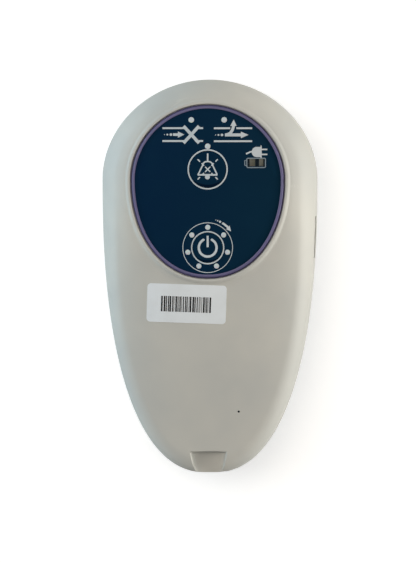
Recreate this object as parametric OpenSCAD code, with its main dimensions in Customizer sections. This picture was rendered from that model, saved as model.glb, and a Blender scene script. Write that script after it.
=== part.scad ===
// Portable negative pressure wound therapy unit, without its canister.
// It lies on its back: +Z comes out of the control panel, +Y points to the round head.

/* [Casing] */
// Width across the widest line
body_w = 89; // [87:0.5:94]
// Length of the round head, from the widest line to its end
head_l = 41.2; // [40.5:0.1:45]
// Length of the tail, from the widest line to its end
tail_l = 122.3; // [121:0.1:128]
// Roundness power of the head's outline, 2 is an ellipse
head_pow = 1.95; // [1.9:0.01:2.1]
// Roundness power of the tail's outline
tail_pow = 2.365; // [2.3:0.005:2.5]
// Depth from the back to the rim of the control panel
depth = 38; // [37.5:0.5:42]
// Wall of the front housing
wall = 2.4; // [2.2:0.1:2.6]
// Wall of the rear housing's sides
rear_wall = 2.2; // [2:0.1:2.4]
// Wall of the rear housing's back
back_wall = 2.2; // [2:0.1:2.4]
// Height of the front housing's lower edge above the back
rim_z = 12; // [11.5:0.1:12.5]
// How far the rear housing reaches up into the front housing
plug_overlap = 3; // [2.8:0.1:3.2]
// Radial gap between the two housings where they plug together
plug_gap = 0.3; // [0.25:0.05:0.4]
// Radius of the rounded edge of the back
back_edge_r = 5; // [3:0.5:6]
// How far below the panel's rim the casing's edge lies at the tail
tail_fall = 9; // [7:0.5:9.5]
// How far below the panel's rim the casing's edge lies at the head
head_fall = 7; // [5.5:0.1:7.5]
// Width of the shoulder's rounding, seen from the front
shoulder_w = 7; // [6:0.1:7.7]
// Height of the shoulder's rounding
shoulder_h = 4; // [3.5:0.1:6]
// Crown of the front between shoulder and panel, 1 is flat
crown_pow = 1.2; // [1.1:0.05:1.6]

/* [Control panel] */
// Width of the panel's bezel
panel_w = 63.6; // [62:0.2:65]
// Length of the bezel above its widest line
panel_head_l = 31; // [30.4:0.1:31.2]
// Length of the bezel below its widest line
panel_tail_l = 40.7; // [40.4:0.1:42]
// Distance from the casing's widest line down to the bezel's
panel_drop = 0.8; // [0.6:0.1:1.2]
// Roundness power of the bezel's outline, above its widest line
panel_head_pow = 1.975; // [1.95:0.005:2.05]
// Roundness power of the bezel's outline, below its widest line
panel_tail_pow = 2.11; // [2.05:0.01:2.2]
// Thickness of the bezel
bezel_t = 2.2; // [2:0.1:2.4]
// Width of the bezel's rim round the printed film
bezel_rim = 1.6; // [1.3:0.1:2]
// How far the rim stands above the film
film_sink = 0.3; // [0.1:0.05:0.4]
// Thickness of the printed film
film_t = 0.4; // [0.3:0.05:0.5]
// Width of the housing's raised lip round the panel
lip_w = 2.4; // [1.8:0.1:3]
// Gap all round between the bezel and the housing's lip
panel_gap = 0.35; // [0.25:0.05:0.45]
// Width of the ledge that the bezel rests on
ledge_w = 3.4; // [3.2:0.1:3.6]

/* [Buttons and lights] */
// Radius of the alarm button
alarm_r = 7.5; // [7:0.1:8]
// Distance of the alarm button's centre above the bezel's widest line
alarm_up = 4.3; // [4:0.1:4.8]
// Radius of the power button
power_r = 6.1; // [5.6:0.1:6.4]
// Distance of the power button's centre below the bezel's widest line
power_down = 28; // [27.6:0.1:28.2]
// Travel of both buttons
button_travel = 0.5; // [0.3:0.05:0.6]
// Gap round a button in the bezel
button_gap = 0.2; // [0.15:0.05:0.3]
// How far a button's retaining lugs reach under the bezel
lug_reach = 1.6; // [1:0.1:1.8]
// Width of a retaining lug
lug_w = 3; // [2.4:0.1:3.4]
// Radius of the circle of day lights
day_circle_r = 8.4; // [8.3:0.05:8.6]
// Number of day lights
day_count = 7; // [7]
// Radius of a day light
day_light_r = 1.05; // [0.8:0.05:1.2]
// Radius of a status light
status_light_r = 1.15; // [0.9:0.05:1.3]
// Half the distance between the two upper status lights
status_x = 6.8; // [6.2:0.1:7.4]
// Distance of the upper status lights above the bezel's widest line
status_up = 24.7; // [24.2:0.1:24.9]
// Distance of the lower status light above the alarm button's centre
bell_light_up = 9.5; // [9.3:0.1:10]
// Place of the battery lights' middle across the panel
level_x = 20.4; // [20:0.1:21]
// Distance of the battery lights above the bezel's widest line
level_up = 7.1; // [6.6:0.1:7.6]
// Size of one battery light across the panel
level_w = 2.8; // [2.4:0.1:3.2]
// Size of one battery light up the panel
level_h = 3; // [2.6:0.1:3.2]
// Distance between the battery lights' middles
level_pitch = 4.4; // [4:0.1:4.6]

/* [Board] */
// Distance from the bezel's seat down to the board's upper face
board_drop = 5.8; // [5.6:0.1:6]
// Thickness of the main board
board_t = 1.6; // [1.2:0.1:1.8]
// Gap between the board's edge and the bezel's outline, seen from the front
board_inset = 0.6; // [0.4:0.1:1]
// Height of a button's switch body above the board
switch_h = 3.4; // [3.2:0.1:3.5]
// Width of a button's switch body
switch_w = 6; // [5.6:0.2:6.4]

/* [Battery] */
// Room for the leads between the battery and the board's plugs
lead_room = 1.8; // [1.6:0.1:2]
// Gap between the battery holder and the bleed valve
valve_gap = 1; // [0.8:0.1:1.2]
// Length of a battery cell
cell_l = 65; // [64.5:0.1:65.4]
// Gap between the battery holder and the port pocket's wall
holder_gap = 2.5; // [1.5:0.1:3]

/* [Pump] */
// Gap between the motor and the front housing above it
motor_gap = 1.95; // [1.5:0.05:2.4]
// Gap between the motor and the screw tower beside it
tower_gap = 1.6; // [1.4:0.1:1.7]
// Length of the pump motor
motor_l = 26; // [24:0.5:26.5]
// Gap between the muffler and the rear housing's side
muffler_gap = 2.9; // [2.4:0.1:3.2]
// Gap between the muffler and the pump's strap
strap_gap = 0.3; // [0.2:0.1:0.5]
// Distance of the pump block's front face from the tail end
pump_from_tail = 65; // [64.4:0.1:65.2]
// Length of the pump block along the motor's axis
block_l = 22; // [21.5:0.1:22.4]
// How far the pump block stands past the motor all round
block_margin = 1; // [0.8:0.1:1.2]
// Thickness of the rubber under the pump
cradle_t = 1.5; // [1.2:0.1:1.7]
// Eccentricity of the crank
crank_e = 0.4; // [0.3:0.05:0.45]
// Radius of the crank's bearing, as a share of the motor's
bearing_share = 0.455; // [0.43:0.005:0.475]
// Radius of the motor's shaft
shaft_r = 1.5; // [1.2:0.1:1.6]

/* [Tubes] */
// Outer radius of the suction tubes
tube_r = 2.75; // [2.6:0.05:2.9]
// Bore radius of the suction tubes
tube_bore = 1.75; // [1.6:0.05:1.9]
// Outer radius of the sensing tube
sense_r = 1.6; // [1.5:0.05:1.7]
// Bore radius of the sensing tube
sense_bore = 0.85; // [0.75:0.05:0.95]
// Radial clearance of a tube on its barb
tube_fit = 0.05; // [0.04:0.01:0.08]

/* [Canister dock] */
// Distance of the port pocket's middle from the head end
dock_from_head = 16.5; // [16.3:0.1:17]
// Width of the port pocket
dock_w = 30; // [29:0.2:31]
// Length of the port pocket
dock_l = 11; // [10.4:0.1:11.4]
// Depth of the port pocket
dock_d = 5; // [4.6:0.1:5.2]
// Distance of each port from the middle
port_x = 8; // [7.8:0.1:8.4]
// Outer radius of the suction port's spigot
spigot_r = 3; // [2.8:0.1:3.1]
// Outer radius of the sensing port's spigot
sense_spigot_r = 2.2; // [2:0.1:2.4]
// Width of the canister's hook slot in the head end
hook_w = 14; // [12:0.5:16]
// Height of the hook slot
hook_h = 4.4; // [4.2:0.1:4.8]
// Depth of the hook slot
hook_d = 4.2; // [4:0.1:4.4]
// Bore radius of the suction port's socket
port_socket_r = 2; // [1.8:0.1:2.1]
// Bore radius of the sensing port's socket
sense_socket_r = 1.3; // [1.1:0.1:1.4]
// Depth of both ports' sockets
port_socket_l = 3.6; // [3.4:0.1:3.8]
// Section radius of the port seals
seal_r = 0.8; // [0.7:0.05:0.85]

/* [Latch notch] */
// Distance from the tail end to the notch's ledge
notch_l = 8.8; // [8:0.1:9]
// Width of the notch at its ledge
notch_w = 16.8; // [15:0.2:17]
// Width of the notch at the tail end
notch_end_w = 12.8; // [11:0.2:13]
// Depth of the notch below the casing's edge at the tail
notch_d = 2.6; // [2.2:0.1:3]
// Slope of the notch's floor, in degrees down to the tail end
notch_slope = 12; // [8:1:14]
// Radius of the notch's hollow floor
notch_r = 15; // [13:1:20]
// How far the tail's end is cut flat
tail_flat = 0.5; // [0.3:0.1:0.7]

/* [Charging port] */
// Distance of the port's middle from the casing's widest line, towards the tail
charge_down = 24.3; // [23.8:0.1:24.8]
// Length of the port's door along the side
door_w = 17; // [16.4:0.2:18]
// Height of the door from its hinge
door_h = 7.4; // [7.2:0.1:7.6]
// Thickness of the door
door_t = 1.6; // [1.5:0.1:1.8]
// Radius of the door's hinge pins
hinge_r = 0.8; // [0.7:0.05:0.85]
// How far the door's face lies inside the casing's widest line
door_sink = 1.3; // [1.2:0.1:1.5]
// Clearance of moving pieces
play = 0.1; // [0.1:0.01:0.14]

/* [Screws] */
// Radius of the casing screws' threads
screw_r = 1.25; // [1.1:0.05:1.4]
// Radius of the screw towers
tower_r = 3.5; // [3.3:0.1:3.6]
// Height where the towers of both housings meet
tower_z = 9; // [8.5:0.1:10]

/* [Hidden] */
$fn = 48;
ring_n = 72;
fit = 0.05;
widest_y = (tail_l - tail_flat - head_l) / 2;
tail_y = widest_y - tail_l;
head_y = widest_y + head_l;
panel_y = widest_y - panel_drop;
seat_z = depth - bezel_t;
film_z = depth - film_sink - film_t;
ledge_t = wall;
ceiling_z = seat_z - ledge_t;
lip_foot_z = depth - 1;
lip_z = depth - 0.2;
board_z = seat_z - board_drop;
under_z = board_z - board_t;
alarm_y = panel_y + alarm_up;
power_y = panel_y - power_down;
bell_light_y = alarm_y + bell_light_up;
status_y = panel_y + status_up;
level_y = panel_y + level_up;
dock_y = head_y - dock_from_head;
pump_y = tail_y + pump_from_tail;
charge_y = widest_y - charge_down;
plug_in = wall + plug_gap;
plug_z = rim_z + plug_overlap;
tub_in = plug_in + rear_wall;

// Curves and skins

function pw(v, e) = sign(v) * pow(abs(v), e);
function clamp(v) = min(1, max(0, v));

// Closed outline of two half superellipses that share their widest line
function egg(half_w, up, down, up_pow, down_pow, y) = [
    for (i = [0:ring_n - 1])
        let (t = 360 * i / ring_n, p = sin(t) >= 0 ? up_pow : down_pow)
            [half_w * pw(cos(t), 2 / p), y + (sin(t) >= 0 ? up : down) * pw(sin(t), 2 / p)]
];

// Outline moved inwards by d, or by its own d at each point
function inset(loop, d) = [
    for (i = [0:len(loop) - 1])
        let (n = len(loop), e = loop[(i + 1) % n] - loop[(i + n - 1) % n])
            loop[i] + (is_list(d) ? d[i] : d) * [-e[1], e[0]] / norm(e)
];

// Outline lifted to height z, or to its own z at each point
function lift(loop, z) = [for (i = [0:len(loop) - 1]) [loop[i][0], loop[i][1], is_list(z) ? z[i] : z]];

// Skin over rings of equal count; without ends, the last ring joins the first
module loft(rings, ends = true) {
    n = len(rings[0]);
    m = len(rings);
    sides = [
        for (k = [0:ends ? m - 2 : m - 1], i = [0:n - 1])
            let (
                a = k * n + i,
                b = k * n + (i + 1) % n,
                c = (k + 1) % m * n + i,
                d = (k + 1) % m * n + (i + 1) % n
            )
                each [[a, c, b], [b, c, d]]
    ];
    caps = [[for (i = [0:n - 1]) i], [for (i = [n - 1:-1:0]) (m - 1) * n + i]];
    polyhedron([for (r = rings) each r], concat(ends ? caps : [], sides));
}

outline = egg(body_w / 2, head_l, tail_l, head_pow, tail_pow, widest_y);
panel = egg(panel_w / 2, panel_head_l, panel_tail_l, panel_head_pow, panel_tail_pow, panel_y);

// Height of the casing's edge, which rises from the tail to the head
rise_l = tail_l * 0.9;
function edge_z(y) = depth - tail_fall + (tail_fall - head_fall) * sin(90 * clamp((y - tail_y) / rise_l));

// Height of a skin x inwards of its edge. The crown rises from top to foot_z over its run,
// and the shoulder, w wide and h high, rounds it off down to the edge.
function skin_h(x, top, foot_z, run, w, h) =
    let (crown = top + (foot_z - top) * (1 - pow(max(0, 1 - x / run), crown_pow)))
    top - h + (crown - top + h) * sqrt(1 - pow(1 - min(1, x / w), shoulder_pow));

// One side of the front housing's skin: shoulder, then crown, up to the lip's foot.
// d is how far the skin lies inside the outer one, and foot_z is where it ends.
draft = 0.4;
shoulder_fits = min(shoulder_w, 0.75 * (body_w / 2 - panel_w / 2 - lip_w));
shoulder_pow = 2.4;
shoulder_steps = 6;
crown_steps = 4;
function skin(d, foot_z) =
    let (
        base = inset(outline, d + draft),
        foot = inset(panel, -lip_w),
        inwards = inset(base, 1) - base,
        w = shoulder_fits - d * 0.6,
        h = shoulder_h - d * 0.6,
        top = [for (p = outline) min(edge_z(p[1]) - d, foot_z - 0.3)],
        run = [for (i = [0:ring_n - 1]) (foot[i] - base[i]) * inwards[i]]
    )
    [
        for (k = [0:shoulder_steps + crown_steps])
            let (
                shoulder_x = w * (1 - cos(90 * min(1, k / shoulder_steps))),
                crown_s = max(0, k - shoulder_steps) / crown_steps
            )
                [
                    for (i = [0:ring_n - 1])
                        let (
                            x = shoulder_x * (1 - crown_s) + run[i] * crown_s,
                            p = base[i] + (foot[i] - base[i]) * x / run[i]
                        )
                            [p[0], p[1], skin_h(x, top[i], foot_z, run[i], w, h)]
                ]
    ];

// Half the outline's width at y, and where the inside of the rear housing's side lies there
function half_w(y) =
    let (
        t = y < widest_y ? (widest_y - y) / tail_l : (y - widest_y) / head_l,
        p = y < widest_y ? tail_pow : head_pow
    )
    body_w / 2 * pow(1 - pow(t, p), 1 / p);
function tub_x(y) = half_w(y) - tub_in;

function backwards(list) = [for (i = [len(list) - 1:-1:0]) list[i]];

outer_skin = skin(0, lip_foot_z);
inner_skin = skin(wall, ceiling_z);
recess = inset(panel, -panel_gap);
opening = inset(panel, ledge_w);

// Height of the outer skin over a point, from the line between edge and lip that runs nearest to it
function skin_z(p) =
    let (
        base = inset(outline, draft),
        inwards = inset(base, 1) - base,
        foot = inset(panel, -lip_w),
        off = [
            for (i = [0:ring_n - 1])
                let (way = foot[i] - base[i], s = (p - base[i]) * way / (way * way))
                    norm(base[i] + way * clamp(s) - p)
        ],
        i = search(min(off), off)[0],
        top = min(edge_z(outline[i][1]), lip_foot_z - 0.3)
    )
    skin_h(
        (p - base[i]) * inwards[i], top, lip_foot_z,
        (foot[i] - base[i]) * inwards[i], shoulder_fits, shoulder_h
    );

// Route through the given points: its first and last stretch are straight, the rest is a smooth curve
function route(p, steps) =
    let (
        n = len(p),
        slope = [
            for (i = [0:n - 1])
                i <= 1 ? unit(p[1] - p[0]) * norm(p[2] - p[1])
                : i >= n - 2 ? unit(p[n - 1] - p[n - 2]) * norm(p[n - 2] - p[n - 3])
                : (p[i + 1] - p[i - 1]) / 2
        ]
    )
    concat(
        [p[0]],
        [
            for (i = [1:n - 3], k = [0:steps - 1])
                let (t = k / steps, u = 1 - t)
                    p[i] * (1 + 2 * t) * u * u + slope[i] * t * u * u
                        + p[i + 1] * t * t * (3 - 2 * t) - slope[i + 1] * t * t * u
        ],
        [p[n - 2], p[n - 1]]
    );

function unit(v) = v / norm(v);

// Direction of a path at point i; it's straight over its first and last stretch
function heading(p, i) =
    let (n = len(p))
    i <= 1 ? unit(p[1] - p[0]) : i >= n - 2 ? unit(p[n - 1] - p[n - 2]) : unit(p[i + 1] - p[i - 1]);

// Side of a path's start: up, or across its way if it starts upright
function start_side(path) =
    let (way = path[len(path) - 1] - path[0])
    abs(heading(path, 0)[2]) > 0.9 ? unit([-way[1], way[0], 0]) : [0, 0, 1];

// Side vectors carried along a path without twist
function carried(dirs, side, done = []) =
    len(done) == len(dirs) ? done
    : let (d = dirs[len(done)], s = unit(side - (side * d) * d)) carried(dirs, s, concat(done, [s]));

// Rings across a path, moved sideways by shift
function tube_rings(path, r, sides, shift = 0) =
    let (dirs = [for (i = [0:len(path) - 1]) heading(path, i)], u = carried(dirs, start_side(path)))
        [
            for (i = [0:len(path) - 1])
                let (v = cross(dirs[i], u[i]), middle = path[i] + shift * u[i])
                    [
                        for (k = [0:sides - 1])
                            let (a = 360 * (k + 0.5) / sides)
                                middle + r * (cos(a) * u[i] + sin(a) * v)
                    ]
        ];

// Tube with a bore along a curve; the flats of its bore clear the barb's radius
module hose(points, r, bore, steps = 4, sides = 8) {
    path = route(points, steps);
    out = r / cos(180 / sides);
    hollow = bore / cos(180 / sides);
    loft(concat(tube_rings(path, out, sides), backwards(tube_rings(path, hollow, sides))), ends = false);
}

// Two leads that run side by side along one route
module lead_pair(points) {
    for (s = [-1, 1]) color(s < 0 ? "firebrick" : "#202020")
        loft(tube_rings(route(points, 2), lead_r, 6, s * lead_gap / 2));
}

module prism(loop, z, h) {
    translate([0, 0, z]) linear_extrude(h) polygon(loop);
}

module along_x(at) { translate(at) rotate([0, 90, 0]) children(); }
module along_y(at) { translate(at) rotate([-90, 0, 0]) children(); }

// Casing

// Screw places: outline points by index, moved inwards
tower_i = [11, 25, 68, 40, 60, 48];
tower_in = tub_in + tower_r - 0.5;
tower_at = [for (i = tower_i) inset(outline, tower_in)[i]];
tower_core = tower_r - 0.8;
tower_top = [for (i = tower_i) skin_z(inset(outline, tower_in - tower_core)[i]) - wall * 0.4];

// Board screws sit in the ledge under the bezel
board_screw_i = [7, 29, 43, 65];
board_screw_in = ledge_w;
board_screw_at = [for (i = board_screw_i) inset(panel, board_screw_in)[i]];
board_post_r = 2.2;
board_screw_r = 0.9;

// Charging port on the right side
hinge_z = plug_z + 2.2;
barrel_r = hinge_r + 0.25;
wall_x = body_w / 2;
door_x = wall_x - door_sink;
hinge_x = door_x - barrel_r;
bay_x = door_x - 2 * barrel_r - play;
bay_w = door_w + 4 * play;
bay_top = hinge_z + door_h + 2 * play;
bay_low = hinge_z - barrel_r - 2 * play;
pin_l = 1.4;
frame_t = 3;
frame_edge = 2.2;
socket_w = 11;
socket_h = 5;
socket_l = 9;
socket_z = hinge_z + door_h / 2;

// Latch notch in the tail
notch_floor_z = depth - tail_fall - notch_d;

notch_fall = notch_l * tan(notch_slope);
ledge_y = tail_y + tail_flat + notch_l;

module notch_cut() {
    intersection() {
        translate([0, 0, notch_floor_z - 8]) linear_extrude(30)
            polygon([
                [-notch_end_w / 2, tail_y - 2],
                [notch_end_w / 2, tail_y - 2],
                [notch_w / 2, ledge_y],
                [-notch_w / 2, ledge_y]
            ]);
        translate([0, ledge_y, notch_floor_z + notch_r]) rotate([90 + notch_slope, 0, 0])
            cylinder(r = notch_r, h = 80, center = true, $fn = 96);
    }
}

module front_housing() {
    rim_round = 0.5;
    color("gainsboro") difference() {
        union() {
            loft(concat(
                [lift(opening, ceiling_z)],
                backwards(inner_skin),
                [lift(inset(outline, wall), plug_z + 0.6), lift(inset(outline, wall), rim_z)],
                [lift(inset(outline, rim_round), rim_z), lift(outline, rim_z + rim_round)],
                outer_skin,
                [lift(inset(panel, -lip_w * 0.6), lip_z - 0.15), lift(inset(panel, -lip_w * 0.35), lip_z)],
                [lift(recess, lip_z), lift(recess, seat_z), lift(opening, seat_z)]
            ), ends = false);
            for (k = [0:len(tower_i) - 1])
                translate([tower_at[k][0], tower_at[k][1], tower_z])
                    cylinder(r = tower_core, h = tower_top[k] - tower_z);
            for (at = board_screw_at)
                translate([at[0], at[1], board_z]) cylinder(r = board_post_r, h = ceiling_z - board_z + 1);
            // Frame behind the charging port's door
            translate([bay_x - frame_t, charge_y - bay_w / 2 - frame_edge, plug_z + 0.2])
                cube([
                    wall_x - wall - bay_x + frame_t + 0.4,
                    bay_w + 2 * frame_edge,
                    bay_top + frame_edge - plug_z
                ]);
            // Solid behind the latch notch
            intersection() {
                translate([-notch_w / 2 - wall, tail_y, notch_floor_z - notch_fall - wall])
                    cube([notch_w + 2 * wall, tail_flat + notch_l + wall, 14]);
                loft(concat([lift(inset(outline, 0.6), rim_z)], skin(0.6, lip_foot_z - 0.6)));
            }
        }
        for (k = [0:len(tower_i) - 1])
            translate([tower_at[k][0], tower_at[k][1], tower_z - 1]) cylinder(r = screw_r + fit, h = 9);
        for (at = board_screw_at)
            translate([at[0], at[1], board_z - 1]) cylinder(r = board_screw_r + fit, h = 5);
        notch_cut();
        translate([-body_w / 2, tail_y - 5, 0]) cube([body_w, 5 + tail_flat, depth]);
        // Bay of the door, its pin holes and the socket's hole
        translate([bay_x, charge_y - bay_w / 2, bay_low]) cube([10, bay_w, bay_top - bay_low]);
        along_y([hinge_x, charge_y - bay_w / 2 - pin_l, hinge_z])
            cylinder(r = hinge_r + play, h = bay_w + 2 * pin_l);
        translate([bay_x - frame_t - 1, charge_y - socket_w / 2 - fit, socket_z - socket_h / 2 - fit])
            cube([frame_t + 2, socket_w + 2 * fit, socket_h + 2 * fit]);
        // Nick for a finger nail above the door
        along_y([wall_x + 0.8, charge_y - 4, bay_top + 0.2]) cylinder(r = 2.2, h = 8);
    }
}

module rear_housing() {
    floor_r = back_edge_r - back_wall;
    groove_z = rim_z + 0.5;
    color("lightgray") difference() {
        union() {
            loft([
                for (a = [0:22.5:90])
                    lift(inset(outline, plug_in + back_edge_r * (1 - sin(a))), back_edge_r * (1 - cos(a))),
                lift(inset(outline, plug_in), groove_z),
                lift(inset(outline, plug_in + gasket_w - plug_gap), groove_z),
                lift(inset(outline, plug_in + gasket_w - plug_gap), groove_z + gasket_h),
                lift(inset(outline, plug_in), groove_z + gasket_h),
                lift(inset(outline, plug_in), plug_z),
                for (a = [90:-30:0])
                    lift(
                        inset(outline, tub_in + floor_r * (1 - sin(a))),
                        a == 90 ? plug_z : back_wall + floor_r * (1 - cos(a))
                    )
            ]);
            for (at = tower_at) translate([at[0], at[1], 1]) cylinder(r = tower_r, h = tower_z - 1);
            translate([-dock_w / 2 - dock_wall, dock_y - dock_l / 2 - dock_wall, 1])
                cube([dock_w + 2 * dock_wall, dock_l + 2 * dock_wall, dock_d + dock_wall - 1]);
            // Walls round the hook slot
            translate([-hook_w / 2 - hook_wall, hook_y - hook_wall, 1])
                cube([hook_w + 2 * hook_wall, hook_d + hook_wall, hook_z + hook_h + hook_wall - 1]);
            // Posts of the pump's strap
            for (s = [-1, 1])
                translate([pump_x + s * strap_foot_x, strap_y, 1]) cylinder(r = post_r, h = strap_foot_z - 1);
            // Ring round the buzzer
            translate([buzzer_at[0], buzzer_at[1], 1]) difference() {
                cylinder(r = buzzer_r + 1.2, h = 3);
                translate([0, 0, -1]) cylinder(r = buzzer_r + 2 * fit, h = 5);
            }
        }
        for (at = tower_at) translate([at[0], at[1], -1]) {
            cylinder(r = screw_head_r + 0.3, h = 1 + well_d);
            cylinder(r = screw_r + 0.25, h = tower_z + 5);
        }
        translate([-dock_w / 2, dock_y - dock_l / 2, -1]) cube([dock_w, dock_l, dock_d + 1]);
        translate([-hook_w / 2, hook_y, hook_z]) cube([hook_w, hook_d + 10, hook_h]);
        translate([-port_x, dock_y, 0]) cylinder(r = spigot_r + fit, h = 20);
        translate([port_x, dock_y, 0]) cylinder(r = sense_spigot_r + fit, h = 20);
        for (s = [-1, 1]) translate([pump_x + s * strap_foot_x, strap_y, strap_foot_z - 6])
            cylinder(r = board_screw_r + fit, h = 8);
        // Exhaust slits under the muffler and sound holes under the buzzer
        for (k = [-1.5:1.5]) translate([muffler_at[0] + 2 + k * 3 - 0.6, muffler_at[1] - 5, -1])
            cube([1.2, 10, back_wall + 2]);
        for (a = [0:60:300]) translate([buzzer_at[0] + 3 * cos(a), buzzer_at[1] + 3 * sin(a), -1])
            cylinder(r = 0.7, h = back_wall + 2, $fn = 16);
        // Recess of the rating plate
        translate([-plate_w / 2, plate_y - plate_l / 2, -1]) cube([plate_w, plate_l, 1 + plate_sink]);
    }
}

gasket_w = 1.2;
gasket_h = 1.4;
hook_wall = 1.4;
hook_z = 4.4;
hook_y = head_y - plug_in - hook_d;

module housing_gasket() {
    color("dimgray") difference() {
        prism(inset(outline, wall + fit), rim_z + 0.55, gasket_h - 0.1);
        prism(inset(outline, wall + gasket_w - fit), rim_z, gasket_h + 1);
    }
}

screw_head_r = 2.5;
screw_head_h = 1.7;
well_d = 3.2;

module screw(head_r, head_h, r, l) {
    translate([0, 0, -head_h]) cylinder(r = head_r, h = head_h);
    cylinder(r = r, h = l);
}

module housing_screws() {
    color("silver") for (at = tower_at) translate([at[0], at[1], well_d])
        difference() {
            screw(screw_head_r, screw_head_h, screw_r, 12);
            translate([0, 0, -screw_head_h - 1]) cylinder(r = 1.3, h = 2.1, $fn = 6);
        }
}

// Control panel

module light_holes(z, h, gap) {
    for (k = [0:day_count - 1]) translate([0, power_y, z]) rotate(90 + k * 360 / day_count)
        translate([day_circle_r, 0, 0]) cylinder(r = day_light_r + gap, h = h, $fn = 24);
    for (at = status_at) translate([at[0], at[1], z])
        cylinder(r = status_light_r + gap, h = h, $fn = 24);
    for (s = [-1, 1])
        translate([level_x + s * level_pitch / 2 - level_w / 2 - gap, level_y - level_h / 2 - gap, z])
        cube([level_w + 2 * gap, level_h + 2 * gap, h]);
}

module button_holes(z, h) {
    translate([0, alarm_y, z]) cylinder(r = alarm_r + button_gap, h = h, $fn = 96);
    translate([0, power_y, z]) cylinder(r = power_r + button_gap, h = h, $fn = 96);
}

module panel_bezel() {
    color("#5a5672") difference() {
        prism(panel, seat_z, bezel_t);
        prism(inset(panel, bezel_rim), film_z, 5);
        button_holes(seat_z - 1, 10);
        light_holes(seat_z - 1, 10, fit);
    }
}

module panel_overlay() {
    color("#0d2b3c") difference() {
        prism(inset(panel, bezel_rim + fit), film_z, film_t);
        button_holes(seat_z - 1, 10);
        light_holes(seat_z - 1, 10, fit);
    }
}

button_top_z = depth - 0.1;
flange_t = 0.8;
stem_r = 1.7;
plunger_rest = 0.9;
plunger_z = board_z + switch_h + plunger_rest;

// Cap, then its stem down to the switch
module button(r, dish) {
    difference() {
        translate([0, 0, seat_z - play - flange_t])
            cylinder(r = r, h = button_top_z - seat_z + play + flange_t, $fn = 96);
        translate([0, 0, button_top_z - dish + 60]) sphere(r = 60, $fn = 96);
    }
    translate([0, 0, plunger_z + play])
        cylinder(r = stem_r, h = seat_z - plunger_z - 2 * play - flange_t + 0.3);
}

// Lugs under the bezel hold a button in
module lugs(r, turns) {
    for (a = turns) rotate(a) translate([0, -lug_w / 2, seat_z - play - flange_t])
        cube([r + button_gap + lug_reach, lug_w, flange_t]);
}

module alarm_button() {
    color("#12303f") translate([0, alarm_y, 0]) {
        button(alarm_r, 0.3);
        lugs(alarm_r, [30, 150, 270]);
    }
}

// The power button's lugs reach out between the day lights
module power_button() {
    color("#12303f") translate([0, power_y, 0]) {
        button(power_r, 0.2);
        lugs(power_r, [for (k = [0.5, 2.5, 4.5]) 90 + k * 360 / day_count]);
    }
}

light_block_z = board_z + 1.2;
light_block_h = seat_z - play - flange_t - button_travel - 0.4 - light_block_z;
light_foot_z = board_z + 1.4;

module day_lights() {
    color("lightgray") for (k = [0:day_count - 1])
        translate([0, power_y, light_foot_z]) rotate(90 + k * 360 / day_count)
            translate([day_circle_r, 0, 0])
                cylinder(r = day_light_r, h = film_z + film_t - light_foot_z, $fn = 24);
}

status_at = [[-status_x, status_y], [status_x, status_y], [0, bell_light_y]];

// Round lights at the symbols and two bars in the battery symbol
module status_lights() {
    color("lightgray") for (at = status_at) translate([at[0], at[1], light_foot_z])
        cylinder(r = status_light_r, h = film_z + film_t - light_foot_z, $fn = 24);
    color("#4a4630") for (s = [-1, 1])
        translate([level_x + s * level_pitch / 2 - level_w / 2, level_y - level_h / 2, light_foot_z])
            cube([level_w, level_h, film_z + film_t - light_foot_z]);
}

// Black block that keeps the light of each emitter in its own well
module light_block() {
    block_in = board_screw_in + board_post_r + 1.2;
    color("#202020") difference() {
        union() {
            prism(inset(panel, block_in), light_block_z, light_block_h);
            for (i = [6, 30, 45, 63]) let (at = inset(panel, block_in + 3)[i])
                translate([at[0], at[1], board_z]) cylinder(r = 1.2, h = 1.6);
        }
        light_holes(board_z, 10, 2 * fit);
        translate([0, alarm_y, board_z - 1]) cylinder(r = switch_w * 0.5 * sqrt(2) + 0.6, h = 10);
        translate([0, power_y, board_z - 1]) cylinder(r = switch_w * 0.5 * sqrt(2) + 0.6, h = 10);
    }
}

led_h = 0.6;

// Light emitters on top of the board, chips under it
module board_components() {
    color("#252525") {
        chip([-6, panel_y - 6.5], 12, 12, 1.4);
        chip([9, panel_y - 8.5], 8, 6, 1.2);
        chip([-20, panel_y - 15.5], 7, 7, 1.2);
    }
    color("ivory") {
        for (k = [0:day_count - 1]) translate([0, power_y, board_z]) rotate(90 + k * 360 / day_count)
            translate([day_circle_r - 0.8, -0.4, 0]) cube([1.6, 0.8, led_h]);
        for (at = [[-status_x, status_y], [status_x, status_y], [0, bell_light_y]])
            translate([at[0] - 0.8, at[1] - 0.4, board_z]) cube([1.6, 0.8, led_h]);
        for (s = [-1, 1]) translate([level_x + s * level_pitch / 2 - 0.8, level_y - 0.4, board_z])
            cube([1.6, 0.8, led_h]);
    }
}

// Board and what it carries

module main_board() {
    color("#1f5a37") difference() {
        prism(inset(panel, board_inset), under_z, board_t);
        for (at = board_screw_at) translate([at[0], at[1], under_z - 1])
            cylinder(r = board_screw_r + 0.2, h = board_t + 2);
    }
}

// Small screws of the board and of the pump's strap
module small_screws() {
    color("silver") {
        for (at = board_screw_at) translate([at[0], at[1], under_z]) screw(1.6, 1, board_screw_r, 4.6);
        for (s = [-1, 1]) translate([pump_x + s * strap_foot_x, strap_y, strap_foot_z + strap_t])
            mirror([0, 0, 1]) screw(1.6, 1, board_screw_r, 4.6);
    }
}

module switch_body() {
    difference() {
        translate([-switch_w / 2, -switch_w / 2, board_z]) cube([switch_w, switch_w, switch_h]);
        translate([0, 0, board_z + 1.2]) cylinder(r = stem_r + 0.15, h = switch_h);
    }
}

module switch_plunger() {
    translate([0, 0, board_z + 1.2 + button_travel + 0.3])
        cylinder(r = stem_r, h = plunger_z - board_z - 1.5 - button_travel);
}

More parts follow.
